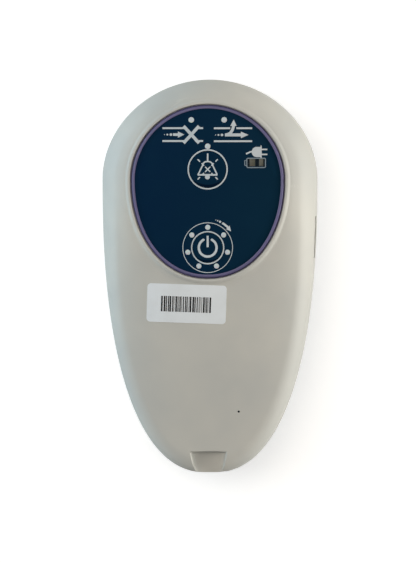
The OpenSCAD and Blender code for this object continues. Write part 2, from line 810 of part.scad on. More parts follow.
module button_switches() { color("#303030") for (y = [alarm_y, power_y]) translate([0, y, 0]) switch_body(); }
module alarm_plunger() { color("ivory") translate([0, alarm_y, 0]) switch_plunger(); }
module power_plunger() { color("ivory") translate([0, power_y, 0]) switch_plunger(); }

module chip(at, w, l, h) { translate([at[0] - w / 2, at[1] - l / 2, under_z - h]) cube([w, l, h]); }

sensor_at = [24, panel_y + 2.5];
sensor_h = 4;
barb_l = 3.6;

module pressure_sensor() {
    color("#d8d8d0") {
        chip(sensor_at, 10, 10, sensor_h);
        translate([sensor_at[0], sensor_at[1], under_z - sensor_h - barb_l]) difference() {
            cylinder(r = sense_bore - tube_fit, h = barb_l + 0.5, $fn = 24);
            translate([0, 0, -1]) cylinder(r = 0.4, h = barb_l + 0.6, $fn = 24);
        }
    }
}

plug_h = 4;
plug_low_z = under_z - plug_h;
motor_plug = [9, panel_y - 35.5];
battery_plug = [-9, panel_y - 35.5];
charge_plug = [21, panel_y - 13.5];
valve_plug = [-18.5, panel_y - 28.5];
buzzer_plug = [18, panel_y - 31.5];

module board_connectors() {
    color("white") for (at = [motor_plug, battery_plug, charge_plug, valve_plug, buzzer_plug])
        chip(at, 5, 4, plug_h);
}

// Places inside, each taken from the housing's sides

tee_gap = 2.55;
tee_l = 3;
tee_at = [tube_r + tee_gap - (body_w / 2 - tub_in), charge_y, 9];
valve_branch = barb_l + 0.8;
valve_r = 4.3;
valve_at = [tee_at[0] + valve_branch + valve_r, tee_at[1]];

mid_y = pump_y - block_l / 2;
motor_y = pump_y - block_l;
motor_end_y = motor_y - motor_l;

muffler_l = 9;
muffler_r = 4.6;
muffler_y = mid_y - 23.5;
muffler_at = [muffler_gap + muffler_r - tub_x(muffler_y), muffler_y];
muffler_z = back_wall + 5.4;

strap_t = 0.8;
strap_reach = 1.8 + strap_t + 1.9;
post_r = 2.2;
motor_left = muffler_at[0] + muffler_r + strap_gap + post_r + strap_reach;
motor_high = skin_z([0, motor_end_y]) - wall - motor_gap - back_wall - cradle_t - block_margin;
motor_wide = tower_at[4][0] - tower_r - tower_gap - motor_left;
motor_r = min(motor_high, motor_wide) / 2;
block_h = 2 * (motor_r + block_margin);
strap_leg_x = motor_r + 1.8;
strap_foot_x = motor_r + strap_reach;
pump_x = motor_left + motor_r;

// Battery

protect_t = 1;
holder_floor = 1;
holder_wall = 1.6;
holder_end = 2.2;
cell_gap = 0.6;
cell_low_z = back_wall + holder_floor;
cell_high = plug_low_z - lead_room - protect_t - cell_low_z;
cell_wide = -valve_at[0] - valve_r - valve_gap - holder_wall - cell_gap / 2;
cell_r = min(cell_high, cell_wide) / 2;
cell_x = cell_r + cell_gap / 2;
cell_z = cell_low_z + cell_r;
cell_top_z = cell_z + cell_r;
dock_wall = 1.8;
cell_y = dock_y - dock_l / 2 - dock_wall - holder_gap - holder_end - cell_l;

module battery_cells() {
    color("#3d7fb5") for (s = [-1, 1]) along_y([s * cell_x, cell_y, cell_z]) {
        cylinder(r = cell_r - 0.1, h = cell_l - 1.2, $fn = 64);
        cylinder(r = 3, h = cell_l - 0.4);
    }
}

module battery_holder() {
    w = 2 * (cell_x + cell_r + holder_wall);
    color("#2b2b2b") difference() {
        translate([-w / 2, cell_y - holder_end, back_wall])
            cube([w, cell_l + 2 * holder_end, cell_r]);
        for (s = [-1, 1])
            along_y([s * cell_x, cell_y - 0.3, cell_z]) cylinder(r = cell_r, h = cell_l + 0.6, $fn = 64);
        for (s = [-1, 1]) translate([s * cell_x - 3.6, cell_y - 1.1, cell_low_z])
            cube([7.2, cell_l + 2.2, cell_r]);
    }
}

module battery_tabs() {
    color("silver") for (s = [-1, 1], y = [cell_y - 0.7, cell_y + cell_l + 0.3])
        translate([s * cell_x - 3.5, y, cell_z - 5]) cube([7, 0.4, 8]);
}

protect_y = cell_y + 8;

module protection_board() {
    color("#1f5a37") translate([-6, protect_y, cell_top_z]) difference() {
        cube([12, 30, protect_t]);
        translate([6, 4, -1]) cylinder(r = 0.8, h = 3, $fn = 24);
    }
}

// Pump

pump_z = back_wall + cradle_t + block_h / 2;
crank_y = pump_y - 7;
block_x = pump_x - motor_r;
block_right = pump_x + motor_r + block_margin;
chamber_r = motor_r - 1.5;
bearing_r = bearing_share * motor_r;
rod_ring_r = bearing_r + 2 * crank_e + play + 1.5;
chamber_l = 14;
plate_t = 3;
head_t = 6;
diaphragm_t = 1.2;
port_z = block_h / 4;
head_x = block_x - diaphragm_t - plate_t - head_t;
inlet_at = [head_x, mid_y, pump_z + port_z];
outlet_at = [head_x, mid_y, pump_z - port_z];
bolt_y = block_l / 2 - 2.4;
bolt_z = block_h / 2 - 2.4;
bolt_r = 1;
clamp_r = 4;
dish_r = 7.4;

module bolts() {
    for (sy = [-1, 1], sz = [-1, 1]) along_x([head_x, mid_y + sy * bolt_y, pump_z + sz * bolt_z]) children();
}

module pump_block() {
    color("#454545") difference() {
        translate([block_x, pump_y - block_l, pump_z - block_h / 2])
            cube([block_right - block_x, block_l, block_h]);
        along_y([pump_x, pump_y - chamber_l, pump_z]) cylinder(r = chamber_r, h = chamber_l + 1, $fn = 64);
        along_y([pump_x, pump_y - block_l - 1, pump_z]) cylinder(r = shaft_r + 1, h = block_l);
        along_x([block_x - 1, crank_y, pump_z]) cylinder(r = clamp_r + 0.5, h = 9);
        bolts() cylinder(r = bolt_r + fit, h = 24);
    }
}

module pump_cover() {
    color("#454545") translate([block_x, pump_y, pump_z - block_h / 2])
        cube([block_right - block_x, 1.2, block_h]);
}

module diaphragm() {
    color("#8a3b2e") difference() {
        translate([block_x - diaphragm_t, mid_y - block_l / 2 + 0.5, pump_z - block_h / 2 + 0.5])
            cube([diaphragm_t, block_l - 1, block_h - 1]);
        along_x([block_x - 3, crank_y, pump_z]) cylinder(r = clamp_r + 0.2, h = 5);
        bolts() cylinder(r = bolt_r + fit, h = 24);
    }
}

module valve_plate() {
    x = block_x - diaphragm_t - plate_t;
    color("#c9c6bd") difference() {
        translate([x, mid_y - block_l / 2, pump_z - block_h / 2]) cube([plate_t, block_l, block_h]);
        along_x([x + plate_t - 1.4, crank_y, pump_z]) cylinder(r = min(dish_r, crank_reach), h = 3, $fn = 64);
        for (s = [-1, 1]) along_x([x - 1, crank_y, pump_z + s * 3]) cylinder(r = 0.8, h = 6, $fn = 24);
        bolts() cylinder(r = bolt_r + fit, h = 24);
    }
}
crank_reach = pump_y - crank_y - 0.4;

module pump_flaps() {
    x = block_x - diaphragm_t - plate_t;
    color("#222222") for (s = [-1, 1])
        along_x([x - 0.5, mid_y, pump_z + s * port_z]) cylinder(r = 2.4, h = 0.45);
}

module pump_head() {
    color("#c9c6bd") difference() {
        union() {
            translate([head_x, mid_y - block_l / 2, pump_z - block_h / 2]) cube([head_t, block_l, block_h]);
            for (at = [inlet_at, outlet_at]) along_x([at[0] - barb_l, at[1], at[2]])
                cylinder(r = tube_bore - tube_fit, h = barb_l + 1);
        }
        for (at = [inlet_at, outlet_at]) {
            along_x([at[0] + head_t - 3, at[1], at[2]]) cylinder(r = 3.4, h = 4);
            along_x([at[0] - barb_l - 1, at[1], at[2]]) cylinder(r = 1, h = barb_l + 8, $fn = 24);
        }
        bolts() cylinder(r = bolt_r + fit, h = 24);
    }
}

module pump_head_screws() {
    color("silver") bolts() screw(1.9, 1.2, bolt_r, 18);
}

module connecting_rod() {
    color("#d9d4c4") difference() {
        union() {
            along_y([pump_x, crank_y - 2, pump_z]) cylinder(r = rod_ring_r, h = 4, $fn = 64);
            along_x([block_x - 1.3, crank_y, pump_z]) cylinder(r = 2, h = pump_x - block_x - bearing_r);
            along_x([block_x - 1.5, crank_y, pump_z]) cylinder(r = clamp_r, h = 2.2);
        }
        along_y([pump_x, crank_y - 3, pump_z]) cylinder(r = bearing_r + 2 * crank_e + play, h = 6, $fn = 64);
    }
}

module crank() {
    color("#b58b3a") difference() {
        union() {
            along_y([pump_x + crank_e, crank_y - 3, pump_z]) cylinder(r = crank_hub_r, h = 5);
            along_y([pump_x, crank_y - 5, pump_z]) intersection() {
                cylinder(r = 6, h = 2);
                translate([-10, -10, 0]) cube([10 + crank_hub_r, 20, 2]);
            }
        }
        along_y([pump_x, crank_y - 9, pump_z]) cylinder(r = shaft_r, h = 20);
    }
}
crank_hub_r = shaft_r + 1.2;

module crank_bearing() {
    color("silver") along_y([pump_x + crank_e, crank_y - 2, pump_z]) difference() {
        cylinder(r = bearing_r, h = 4, $fn = 64);
        translate([0, 0, -1]) cylinder(r = crank_hub_r, h = 6);
    }
}

module motor_can() {
    color("silver") along_y([pump_x, motor_end_y + 3, pump_z]) difference() {
        cylinder(r = motor_r, h = motor_l - 3, $fn = 64);
        translate([0, 0, -1]) cylinder(r = motor_r - 0.8, h = motor_l - 3, $fn = 64);
        cylinder(r = shaft_r + 0.8, h = motor_l + 5);
    }
}

module motor_cap() {
    color("#303030") along_y([pump_x, motor_end_y, pump_z]) difference() {
        cylinder(r = motor_r, h = 3, $fn = 64);
        translate([0, 0, 0.8]) cylinder(r = shaft_r + play, h = 5);
    }
}

module motor_magnets() {
    color("#3a3a40") along_y([pump_x, motor_end_y + 5, pump_z]) difference() {
        cylinder(r = motor_r - 0.8, h = 16, $fn = 64);
        translate([0, 0, -1]) cylinder(r = motor_r - 2.8, h = 20, $fn = 64);
        translate([-1.5, -20, -1]) cube([3, 40, 20]);
    }
}

module motor_armature() {
    color("#a5642a") along_y([pump_x, motor_end_y + 5.5, pump_z]) difference() {
        union() {
            cylinder(r = motor_r - 3.4, h = 14, $fn = 64);
            translate([0, 0, -1.5]) cylinder(r = 3, h = 4);
        }
        for (a = [0:60:300]) rotate(a) translate([motor_r - 6, -0.7, -1]) cube([8, 1.4, 20]);
        translate([0, 0, -3]) cylinder(r = shaft_r, h = 30);
    }
}

module motor_shaft() {
    shaft_l = crank_y + 3 - (motor_end_y + 1);
    color("gray") along_y([pump_x, motor_end_y + 1, pump_z]) cylinder(r = shaft_r, h = shaft_l);
}

strap_y = motor_y - 14.3;
strap_w = 6;
strap_foot_z = pump_z - 6;

module pump_cradles() {
    color("#1e1e1e") {
        translate([block_x + 1, pump_y - block_l + 2, back_wall])
            cube([block_right - block_x - 2, block_l - 4, cradle_t]);
        difference() {
            translate([pump_x - motor_r - cradle_t + 1, strap_y - strap_w / 2, back_wall])
                cube([2 * (motor_r + cradle_t - 1), strap_w, pump_z - back_wall]);
            along_y([pump_x, strap_y - strap_w, pump_z])
                cylinder(r = motor_r + fit, h = 2 * strap_w, $fn = 64);
        }
    }
}

// Steel strap over the motor, with a foot on each post
module pump_strap() {
    r = motor_r + 0.3;
    leg = strap_leg_x;
    color("silver") translate([0, strap_y - strap_w / 2, 0]) {
        difference() {
            along_y([pump_x, 0, pump_z]) cylinder(r = r + strap_t, h = strap_w, $fn = 64);
            along_y([pump_x, -1, pump_z]) cylinder(r = r, h = strap_w + 2, $fn = 64);
            translate([pump_x - 20, -1, 0]) cube([40, strap_w + 2, pump_z + 0.3]);
        }
        difference() {
            for (s = [-1, 1]) {
                translate([pump_x + s * (leg + strap_t / 2) - strap_t / 2, 0, strap_foot_z])
                    cube([strap_t, strap_w, pump_z + 1 - strap_foot_z]);
                translate([pump_x + s * (r + leg + strap_t) / 2 - (leg + strap_t - r) / 2, 0, pump_z + 0.3])
                    cube([leg + strap_t - r, strap_w, strap_t]);
                translate([pump_x + s * (strap_foot_x - 0.2) - 2.2, 0, strap_foot_z])
                    cube([4.4, strap_w, strap_t]);
            }
            for (s = [-1, 1]) translate([pump_x + s * strap_foot_x, strap_w / 2, strap_foot_z - 1])
                cylinder(r = board_screw_r + 0.2, h = 3);
        }
    }
}

// Ports, tubes and muffler

// Port through the dock's floor: spigot below with a socket and a seal groove, barb above
module port(spigot, socket, barb, bore) {
    top = dock_d + dock_wall;
    difference() {
        union() {
            translate([0, 0, port_low_z]) cylinder(r = spigot, h = top - port_low_z);
            translate([0, 0, top]) cylinder(r = spigot + 1.2, h = 1.2);
            translate([0, 0, top + 1.2]) cylinder(r = barb, h = barb_l + 1);
        }
        translate([0, 0, -1]) cylinder(r = bore, h = 30, $fn = 24);
        cylinder(r = socket, h = port_low_z + port_socket_l);
        seal(spigot);
    }
}

module seal(spigot) {
    translate([0, 0, port_low_z + 2]) rotate_extrude() translate([spigot + seal_r * 0.6, 0])
        circle(r = seal_r, $fn = 24);
}

module vacuum_port() {
    color("white") translate([-port_x, dock_y, 0]) port(spigot_r, port_socket_r, tube_bore - tube_fit, 1.1);
}
module sense_port() {
    color("white") translate([port_x, dock_y, 0])
        port(sense_spigot_r, sense_socket_r, sense_bore - tube_fit, 0.45);
}
module port_seals() {
    color("#222222") {
        translate([-port_x, dock_y, 0]) seal(spigot_r);
        translate([port_x, dock_y, 0]) seal(sense_spigot_r);
    }
}

port_top_z = dock_d + dock_wall + 1.2;
port_low_z = 1.2;

module intake_tube() {
    x = -port_x;
    color("gainsboro") hose([
        [x, dock_y, port_top_z + 0.2], [x, dock_y, port_top_z + barb_l + 1.5], [x - 4, dock_y - 3.4, 19.3],
        [tee_at[0] + 13.3, 56, 19.8], [tee_at[0] + 5.3, 47, 15.5],
        [tee_at[0] + 0.7, 38, 11], [tee_at[0], 29, 9.2],
        [tee_at[0], tee_at[1] + tee_l + barb_l + 0.6, 9], [tee_at[0], tee_at[1] + tee_l + 0.2, 9]
    ], tube_r, tube_bore);
}

module tube_tee() {
    color("white") translate(tee_at) difference() {
        union() {
            along_y([0, -tee_l - barb_l, 0]) cylinder(r = tube_bore - tube_fit, h = 2 * (tee_l + barb_l));
            along_y([0, -tee_l, 0]) cylinder(r = tube_r, h = 2 * tee_l);
            along_x([0, 0, 0]) cylinder(r = tube_bore - tube_fit, h = valve_branch);
        }
        along_y([0, -20, 0]) cylinder(r = 1, h = 40, $fn = 24);
        along_x([0, 0, 0]) cylinder(r = 0.9, h = 20, $fn = 24);
    }
}

module pump_tube() {
    color("gainsboro") hose([
        [tee_at[0], tee_at[1] - tee_l - 0.2, 9], [tee_at[0], tee_at[1] - tee_l - barb_l - 0.6, 9],
        [tee_at[0] + 3.8, 0.5, 10.6], [tee_at[0] + 6.9, -8, 13.5], [tee_at[0] + 6.1, -17, 17.4],
        [tee_at[0] + 4.9, mid_y + 4.6, inlet_at[2] - 1.3],
        [head_x - barb_l - 0.6 - 4, mid_y + 1.6, inlet_at[2]], [head_x - barb_l - 0.6, mid_y, inlet_at[2]],
        [head_x - 0.2, mid_y, inlet_at[2]]
    ], tube_r, tube_bore);
}

module exhaust_tube() {
    y = muffler_at[1] + muffler_l / 2;
    color("gainsboro") hose([
        [head_x - 0.2, mid_y, outlet_at[2]], [head_x - barb_l - 0.6, mid_y, outlet_at[2]],
        [head_x - 8.2, mid_y - 2.4, outlet_at[2] - 0.3], [head_x - 8.4, mid_y - 7.5, 8.6],
        [head_x - 4.3, mid_y - 12, 8], [muffler_at[0], y + barb_l + 0.6, muffler_z],
        [muffler_at[0], y + 0.2, muffler_z]
    ], tube_r, tube_bore);
}

module muffler() {
    y = muffler_at[1];
    color("#e8e4da") difference() {
        union() {
            along_y([muffler_at[0], y - muffler_l / 2, muffler_z]) cylinder(r = muffler_r, h = muffler_l);
            translate([muffler_at[0] - 2, y - muffler_l / 2, back_wall]) cube([4, muffler_l, 3]);
            along_y([muffler_at[0], y, muffler_z])
                cylinder(r = tube_bore - tube_fit, h = muffler_l / 2 + barb_l);
        }
        along_y([muffler_at[0], y - muffler_l / 2 + 1, muffler_z])
            cylinder(r = muffler_r - 1.2, h = muffler_l - 2);
        along_y([muffler_at[0], y, muffler_z]) cylinder(r = 1, h = 20, $fn = 24);
        for (k = [-1, 1]) translate([muffler_at[0] + k * 1.2 - 0.4, y - 3, 0]) cube([0.8, 6, muffler_z]);
    }
}

module sense_tube() {
    top = under_z - sensor_h - 0.2;
    color("gainsboro") hose([
        [port_x, dock_y, port_top_z + 0.2], [port_x, dock_y, port_top_z + barb_l + 1.2], [10.5, 62.5, 18],
        [16.4, 58, 19], [22, 51.5, 16.4], [23.9, 45.2, 15], [sensor_at[0], sensor_at[1], top - barb_l - 0.8],
        [sensor_at[0], sensor_at[1], top]
    ], sense_r, sense_bore, steps = 3);
}

// Bleed valve, which lets air back in when the pressure is too deep

valve_low = back_wall;
valve_base = 10;
valve_top = plug_low_z - 3.9;
core_r = 1.65;
spring_z = valve_top - 5;

module bleed_valve() {
    color("#c9c6bd") translate([valve_at[0], valve_at[1], 0]) difference() {
        union() {
            translate([0, 0, valve_low]) cylinder(r = valve_r, h = valve_base - valve_low);
            translate([0, 0, valve_base - 1]) cylinder(r = core_r + 0.65, h = valve_top - valve_base + 1);
            translate([0, 0, valve_top - 1]) cylinder(r = valve_r, h = 1);
        }
        translate([0, 0, valve_base - 4]) cylinder(r = core_r + 0.15, h = valve_top - valve_base + 3);
        along_x([-valve_r - 1, 0, tee_at[2]]) cylinder(r = 0.9, h = valve_r, $fn = 24);
        cylinder(r = 0.6, h = valve_base, $fn = 24);
    }
}

module valve_coil() {
    color("#b5572a") translate([valve_at[0], valve_at[1], valve_base]) difference() {
        cylinder(r = valve_r, h = valve_top - 1 - valve_base);
        translate([0, 0, -1]) cylinder(r = core_r + 0.7, h = 20);
    }
}

module valve_plunger() {
    color("silver") translate([valve_at[0], valve_at[1], valve_base - 3.9]) {
        cylinder(r = core_r, h = spring_z - valve_base + 3.8);
        cylinder(r = core_r - 0.6, h = spring_z - valve_base + 5);
    }
}

// Four coils between the plunger and the cap
module valve_spring() {
    turns = 4;
    coil_r = core_r - 0.3;
    h = valve_top - 1 - spring_z - 0.6;
    path = [
        for (a = [0:45:360 * turns])
            [
                valve_at[0] + coil_r * cos(a),
                valve_at[1] + coil_r * sin(a),
                spring_z + 0.25 + h * a / 360 / turns
            ]
    ];
    color("silver") loft(tube_rings(path, 0.16, 6));
}

// Sound, charging and leads

buzzer_r = 6.5;
buzzer_h = 5.5;
buzzer_at = [body_w / 2 - tub_in - buzzer_r - 3.4, charge_y - 2];

module buzzer() {
    color("#1c1c1c") translate([buzzer_at[0], buzzer_at[1], back_wall]) difference() {
        cylinder(r = buzzer_r, h = buzzer_h);
        translate([0, 0, -1]) cylinder(r = 1.5, h = 3);
    }
}

module charge_socket() {
    back = bay_x - socket_l;
    color("#2a2a2a") difference() {
        union() {
            translate([back, charge_y - socket_w / 2, socket_z - socket_h / 2])
                cube([socket_l - 0.3, socket_w, socket_h]);
            translate([bay_x - frame_t - 1.2, charge_y - socket_w / 2 - 2, socket_z - socket_h / 2 - 1.4])
                cube([1.2, socket_w + 4, socket_h + 2.8]);
        }
        translate([back + 1.4, charge_y - socket_w / 2 + 0.8, socket_z - socket_h / 2 + 0.8])
            cube([socket_l, socket_w - 1.6, socket_h - 1.6]);
    }
}

module charge_contacts() {
    color("gold") for (k = [-1:1])
        along_x([bay_x - socket_l + 1.4, charge_y + k * 2.6, socket_z])
            cylinder(r = 0.6, h = socket_l - 3.4, $fn = 24);
}

// Door on two pins of its own, which turn in the housing
module port_door() {
    color("gainsboro") {
        translate([door_x - door_t, charge_y - door_w / 2, hinge_z]) cube([door_t, door_w, door_h]);
        along_y([hinge_x, charge_y - door_w / 2, hinge_z]) cylinder(r = barrel_r, h = door_w);
        along_y([hinge_x, charge_y - bay_w / 2 - pin_l + 0.2, hinge_z])
            cylinder(r = hinge_r, h = bay_w + 2 * pin_l - 0.4);
    }
}

lead_r = 0.6;
lead_gap = 1.4;

// Leads of the motor, battery, charging socket, bleed valve and buzzer
module wiring() {
    motor_leads();
    battery_leads();
    charge_leads();
    valve_leads();
    buzzer_leads();
}

module motor_leads() {
    y = motor_end_y;
    lead_pair([
        [pump_x + 4, y, pump_z + 5], [pump_x + 4, y - 1.6, pump_z + 5],
        [pump_x + motor_r - 1.5, y - 1.8, pump_z + 7],
        [pump_x + motor_r + 0.8, y + 5, pump_z + 8], [pump_x + motor_r + 1.4, y + 14, pump_z + 8.2],
        [block_right + 2, y + 27, pump_z + 8], [block_right + 2, -18, pump_z + 8],
        [12, -5, plug_low_z], [motor_plug[0], motor_plug[1], plug_low_z - 0.8],
        [motor_plug[0], motor_plug[1], plug_low_z]
    ]);
}

module battery_leads() {
    z = cell_top_z + protect_t;
    lead_pair([
        [-3, protect_y + 4, z], [-3, protect_y + 4, z + 0.65], [-6, protect_y + 6, z + 0.8],
        [battery_plug[0], battery_plug[1], plug_low_z - 0.6], [battery_plug[0], battery_plug[1], plug_low_z]
    ]);
}

module charge_leads() {
    x = bay_x - socket_l;
    lead_pair([
        [x, charge_y, socket_z], [x - 1.5, charge_y, socket_z], [x - 5, charge_y + 2, socket_z - 0.8],
        [charge_plug[0] + 1, charge_plug[1] - 2, plug_low_z - 2.6],
        [charge_plug[0], charge_plug[1], plug_low_z - 1], [charge_plug[0], charge_plug[1], plug_low_z]
    ]);
}

module valve_leads() {
    x = valve_at[0];
    y = valve_at[1];
    lead_pair([
        [x, y, valve_top], [x, y, valve_top + 0.8], [x + 3, y - 1, valve_top + 2],
        [valve_plug[0], valve_plug[1], plug_low_z - 1], [valve_plug[0], valve_plug[1], plug_low_z]
    ]);
}

module buzzer_leads() {
    x = buzzer_at[0];
    y = buzzer_at[1];
    z = back_wall + buzzer_h;
    lead_pair([
        [x, y - 3, z], [x, y - 3, z + 2], [x - 2, y - 4, z + 7], [x - 7, y - 5, plug_low_z - 4],
        [buzzer_plug[0], buzzer_plug[1], plug_low_z - 1], [buzzer_plug[0], buzzer_plug[1], plug_low_z]
    ]);
}

// Labels

label_w = 32.8;
label_l = 15.9;
label_at = [-8.8, panel_y - 51.1];
label_turn = -2;
label_t = 0.15;
plate_w = 44;
plate_l = 30;
plate_y = charge_y - 2;
plate_sink = 0.4;

// The label is a slice just above the outer skin, so it follows the crown
module asset_label() {
    corner_r = 1.5;
    color("white") intersection() {
        difference() {
            loft(concat([lift(outline, rim_z)], skin(-label_t, lip_foot_z + label_t)));
            loft(concat([lift(inset(outline, label_t), rim_z - 1)], outer_skin));
        }
        translate([label_at[0], label_at[1], rim_z]) rotate(label_turn) union() {
            translate([-label_w / 2 + corner_r, -label_l / 2, 0])
                cube([label_w - 2 * corner_r, label_l, depth]);
            translate([-label_w / 2, -label_l / 2 + corner_r, 0])
                cube([label_w, label_l - 2 * corner_r, depth]);
            for (x = [-1, 1], y = [-1, 1])
                translate([x * (label_w / 2 - corner_r), y * (label_l / 2 - corner_r), 0])
                    cylinder(r = corner_r, h = depth);
        }
    }
}

module rating_plate() {
    color("whitesmoke") translate([-plate_w / 2 + 0.1, plate_y - plate_l / 2 + 0.1, 0.1])
        cube([plate_w - 0.2, plate_l - 0.2, plate_sink - 0.1]);
}

front_housing();
rear_housing();
housing_gasket();
housing_screws();
panel_bezel();
panel_overlay();
alarm_button();
power_button();
day_lights();
status_lights();
light_block();
main_board();
board_components();
board_connectors();
button_switches();
alarm_plunger();
power_plunger();
pressure_sensor();
small_screws();
battery_cells();
battery_holder();
battery_tabs();
protection_board();
pump_block();
pump_cover();
diaphragm();
valve_plate();
pump_flaps();
pump_head();
pump_head_screws();
connecting_rod();
crank();
crank_bearing();
motor_can();
motor_cap();
motor_magnets();
motor_armature();
motor_shaft();
pump_cradles();
pump_strap();
vacuum_port();
sense_port();
port_seals();
intake_tube();
tube_tee();
pump_tube();
exhaust_tube();
muffler();
sense_tube();
bleed_valve();
valve_coil();
valve_plunger();
valve_spring();
buzzer();
charge_socket();
charge_contacts();
port_door();
wiring();
asset_label();
rating_plate();
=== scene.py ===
import math
import random

import bpy
from mathutils import Matrix, Vector, noise


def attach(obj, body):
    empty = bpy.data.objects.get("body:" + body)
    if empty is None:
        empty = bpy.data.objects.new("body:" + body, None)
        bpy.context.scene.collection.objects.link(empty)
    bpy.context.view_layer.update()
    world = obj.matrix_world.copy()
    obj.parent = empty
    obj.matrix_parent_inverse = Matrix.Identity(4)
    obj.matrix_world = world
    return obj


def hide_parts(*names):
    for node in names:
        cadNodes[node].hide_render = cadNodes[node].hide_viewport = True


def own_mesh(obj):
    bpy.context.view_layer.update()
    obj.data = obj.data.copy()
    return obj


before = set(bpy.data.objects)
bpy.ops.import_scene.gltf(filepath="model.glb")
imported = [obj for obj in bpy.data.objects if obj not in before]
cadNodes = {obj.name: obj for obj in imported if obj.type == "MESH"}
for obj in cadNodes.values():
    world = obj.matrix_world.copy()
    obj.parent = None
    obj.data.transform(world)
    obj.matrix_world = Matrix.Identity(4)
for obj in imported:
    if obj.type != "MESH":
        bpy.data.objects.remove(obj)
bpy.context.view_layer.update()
mm = 0.001
random.seed(11)
print("frame loaded:", len(cadNodes), "nodes")


# Helpers for nodes and colours

def linear(hexText):
    # sRGB hex to the linear colour that Blender's sockets take
    parts = [int(hexText[i:i + 2], 16) / 255 for i in (1, 3, 5)]
    return [v / 12.92 if v <= 0.04045 else ((v + 0.055) / 1.055) ** 2.4 for v in parts] + [1.0]


def addNode(tree, kind, values=None):
    # one node; a value is a setting, a hex colour, or another node's output, which is linked in
    node = tree.nodes.new(kind)
    for key, value in (values or {}).items():
        if isinstance(value, bpy.types.NodeSocket):
            tree.links.new(value, node.inputs[key])
        elif isinstance(key, int) or key in node.inputs:
            node.inputs[key].default_value = linear(value) if isinstance(value, str) else value
        else:
            setattr(node, key, value)
    return node


def perMetre(sizeInMm):
    # noise and wave scales count repeats per metre, so a real size turns into a scale here
    return 1000.0 / sizeInMm


def noiseOf(tree, coords, sizeInMm, detail, roughness=0.5):
    values = {"Scale": perMetre(sizeInMm), "Detail": detail, "Roughness": roughness, "Vector": coords}
    return addNode(tree, "ShaderNodeTexNoise", values).outputs["Fac"]


def mixOf(tree, share, first, second):
    values = {"data_type": "RGBA", 0: share, 6: first, 7: second}
    return addNode(tree, "ShaderNodeMix", values).outputs[2]


def rangeOf(tree, value, low=0.0, high=1.0, fromLow=0.0, fromHigh=1.0):
    values = {"From Min": fromLow, "From Max": fromHigh, "To Min": low, "To Max": high, "Value": value}
    return addNode(tree, "ShaderNodeMapRange", values).outputs["Result"]


def mathOf(tree, operation, first, second):
    return addNode(tree, "ShaderNodeMath", {"operation": operation, 0: first, 1: second}).outputs["Value"]


def bumpOf(tree, height, strength, depthInMm):
    values = {"Strength": strength, "Distance": depthInMm * mm, "Height": height}
    return addNode(tree, "ShaderNodeBump", values).outputs["Normal"]


def startMaterial(name):
    # an empty material, its node tree, and the piece's own coordinates in metres
    material = bpy.data.materials.new(name)
    material.use_nodes = True
    tree = material.node_tree
    tree.nodes.clear()
    return material, tree, addNode(tree, "ShaderNodeTexCoord").outputs["Object"]


def endMaterial(material, values):
    shader = addNode(material.node_tree, "ShaderNodeBsdfPrincipled", values)
    addNode(material.node_tree, "ShaderNodeOutputMaterial", {"Surface": shader.outputs["BSDF"]})
    return material


# Materials

def mouldedPlastic(name, look):
    # Injection-moulded plastic: an eroded mould gives a fine even grain, slow flow marks shift its
    # colour a little, and handling leaves the outer edges paler
    material, tree, coords = startMaterial(name)
    cloud = noiseOf(tree, coords, look["cloudMm"], 3.0, 0.6)
    grain = noiseOf(tree, coords, look["grainMm"], 2.0)
    speck = noiseOf(tree, coords, look["grainMm"] * 6, 5.0)
    colour = mixOf(tree, rangeOf(tree, cloud, fromLow=0.3, fromHigh=0.7), look["colour"], look["shade"])
    edge = addNode(tree, "ShaderNodeNewGeometry").outputs["Pointiness"]
    worn = rangeOf(tree, edge, 0.0, look["wear"], 0.52, 0.6)
    return endMaterial(material, {
        "Base Color": mixOf(tree, mathOf(tree, "MULTIPLY", worn, speck), colour, look["edge"]),
        "Roughness": rangeOf(tree, speck, look["rough"] - 0.06, look["rough"] + 0.08),
        "Normal": bumpOf(tree, grain, 0.6, look["grainDepthMm"]),
        "IOR": look.get("ior", 1.53), "Specular IOR Level": look.get("specular", 0.5)})


def workedMetal(name, look):
    # Rolled, turned or plated metal: drawing lines along one way, and dull patches where it was held
    material, tree, coords = startMaterial(name)
    drawn = addNode(tree, "ShaderNodeMapping", {"Scale": look["stretch"], "Vector": coords})
    lines = noiseOf(tree, drawn.outputs["Vector"], look["lineMm"], 4.0)
    patch = noiseOf(tree, coords, look["patchMm"], 3.0)
    return endMaterial(material, {
        "Metallic": 1.0, "Base Color": mixOf(tree, patch, look["colour"], look["shade"]),
        "Roughness": rangeOf(tree, lines, look["rough"] - 0.08, look["rough"] + 0.12),
        "Normal": bumpOf(tree, lines, 0.4, look["depthMm"])})


def softRubber(name, look):
    # Moulded elastomer: matt, slightly dusty, with a bloom that shows at grazing angles
    material, tree, coords = startMaterial(name)
    dust = noiseOf(tree, coords, look["dustMm"], 6.0)
    skin = noiseOf(tree, coords, look["skinMm"], 2.0)
    return endMaterial(material, {
        "Base Color": mixOf(tree, dust, look["colour"], look["shade"]), "Roughness": look["rough"],
        "Normal": bumpOf(tree, skin, 0.5, look["depthMm"]), "IOR": 1.5,
        "Sheen Weight": look.get("bloom", 0.1), "Subsurface Weight": look.get("glow", 0.0),
        "Subsurface Scale": 0.001, "Transmission Weight": look.get("clear", 0.0)})


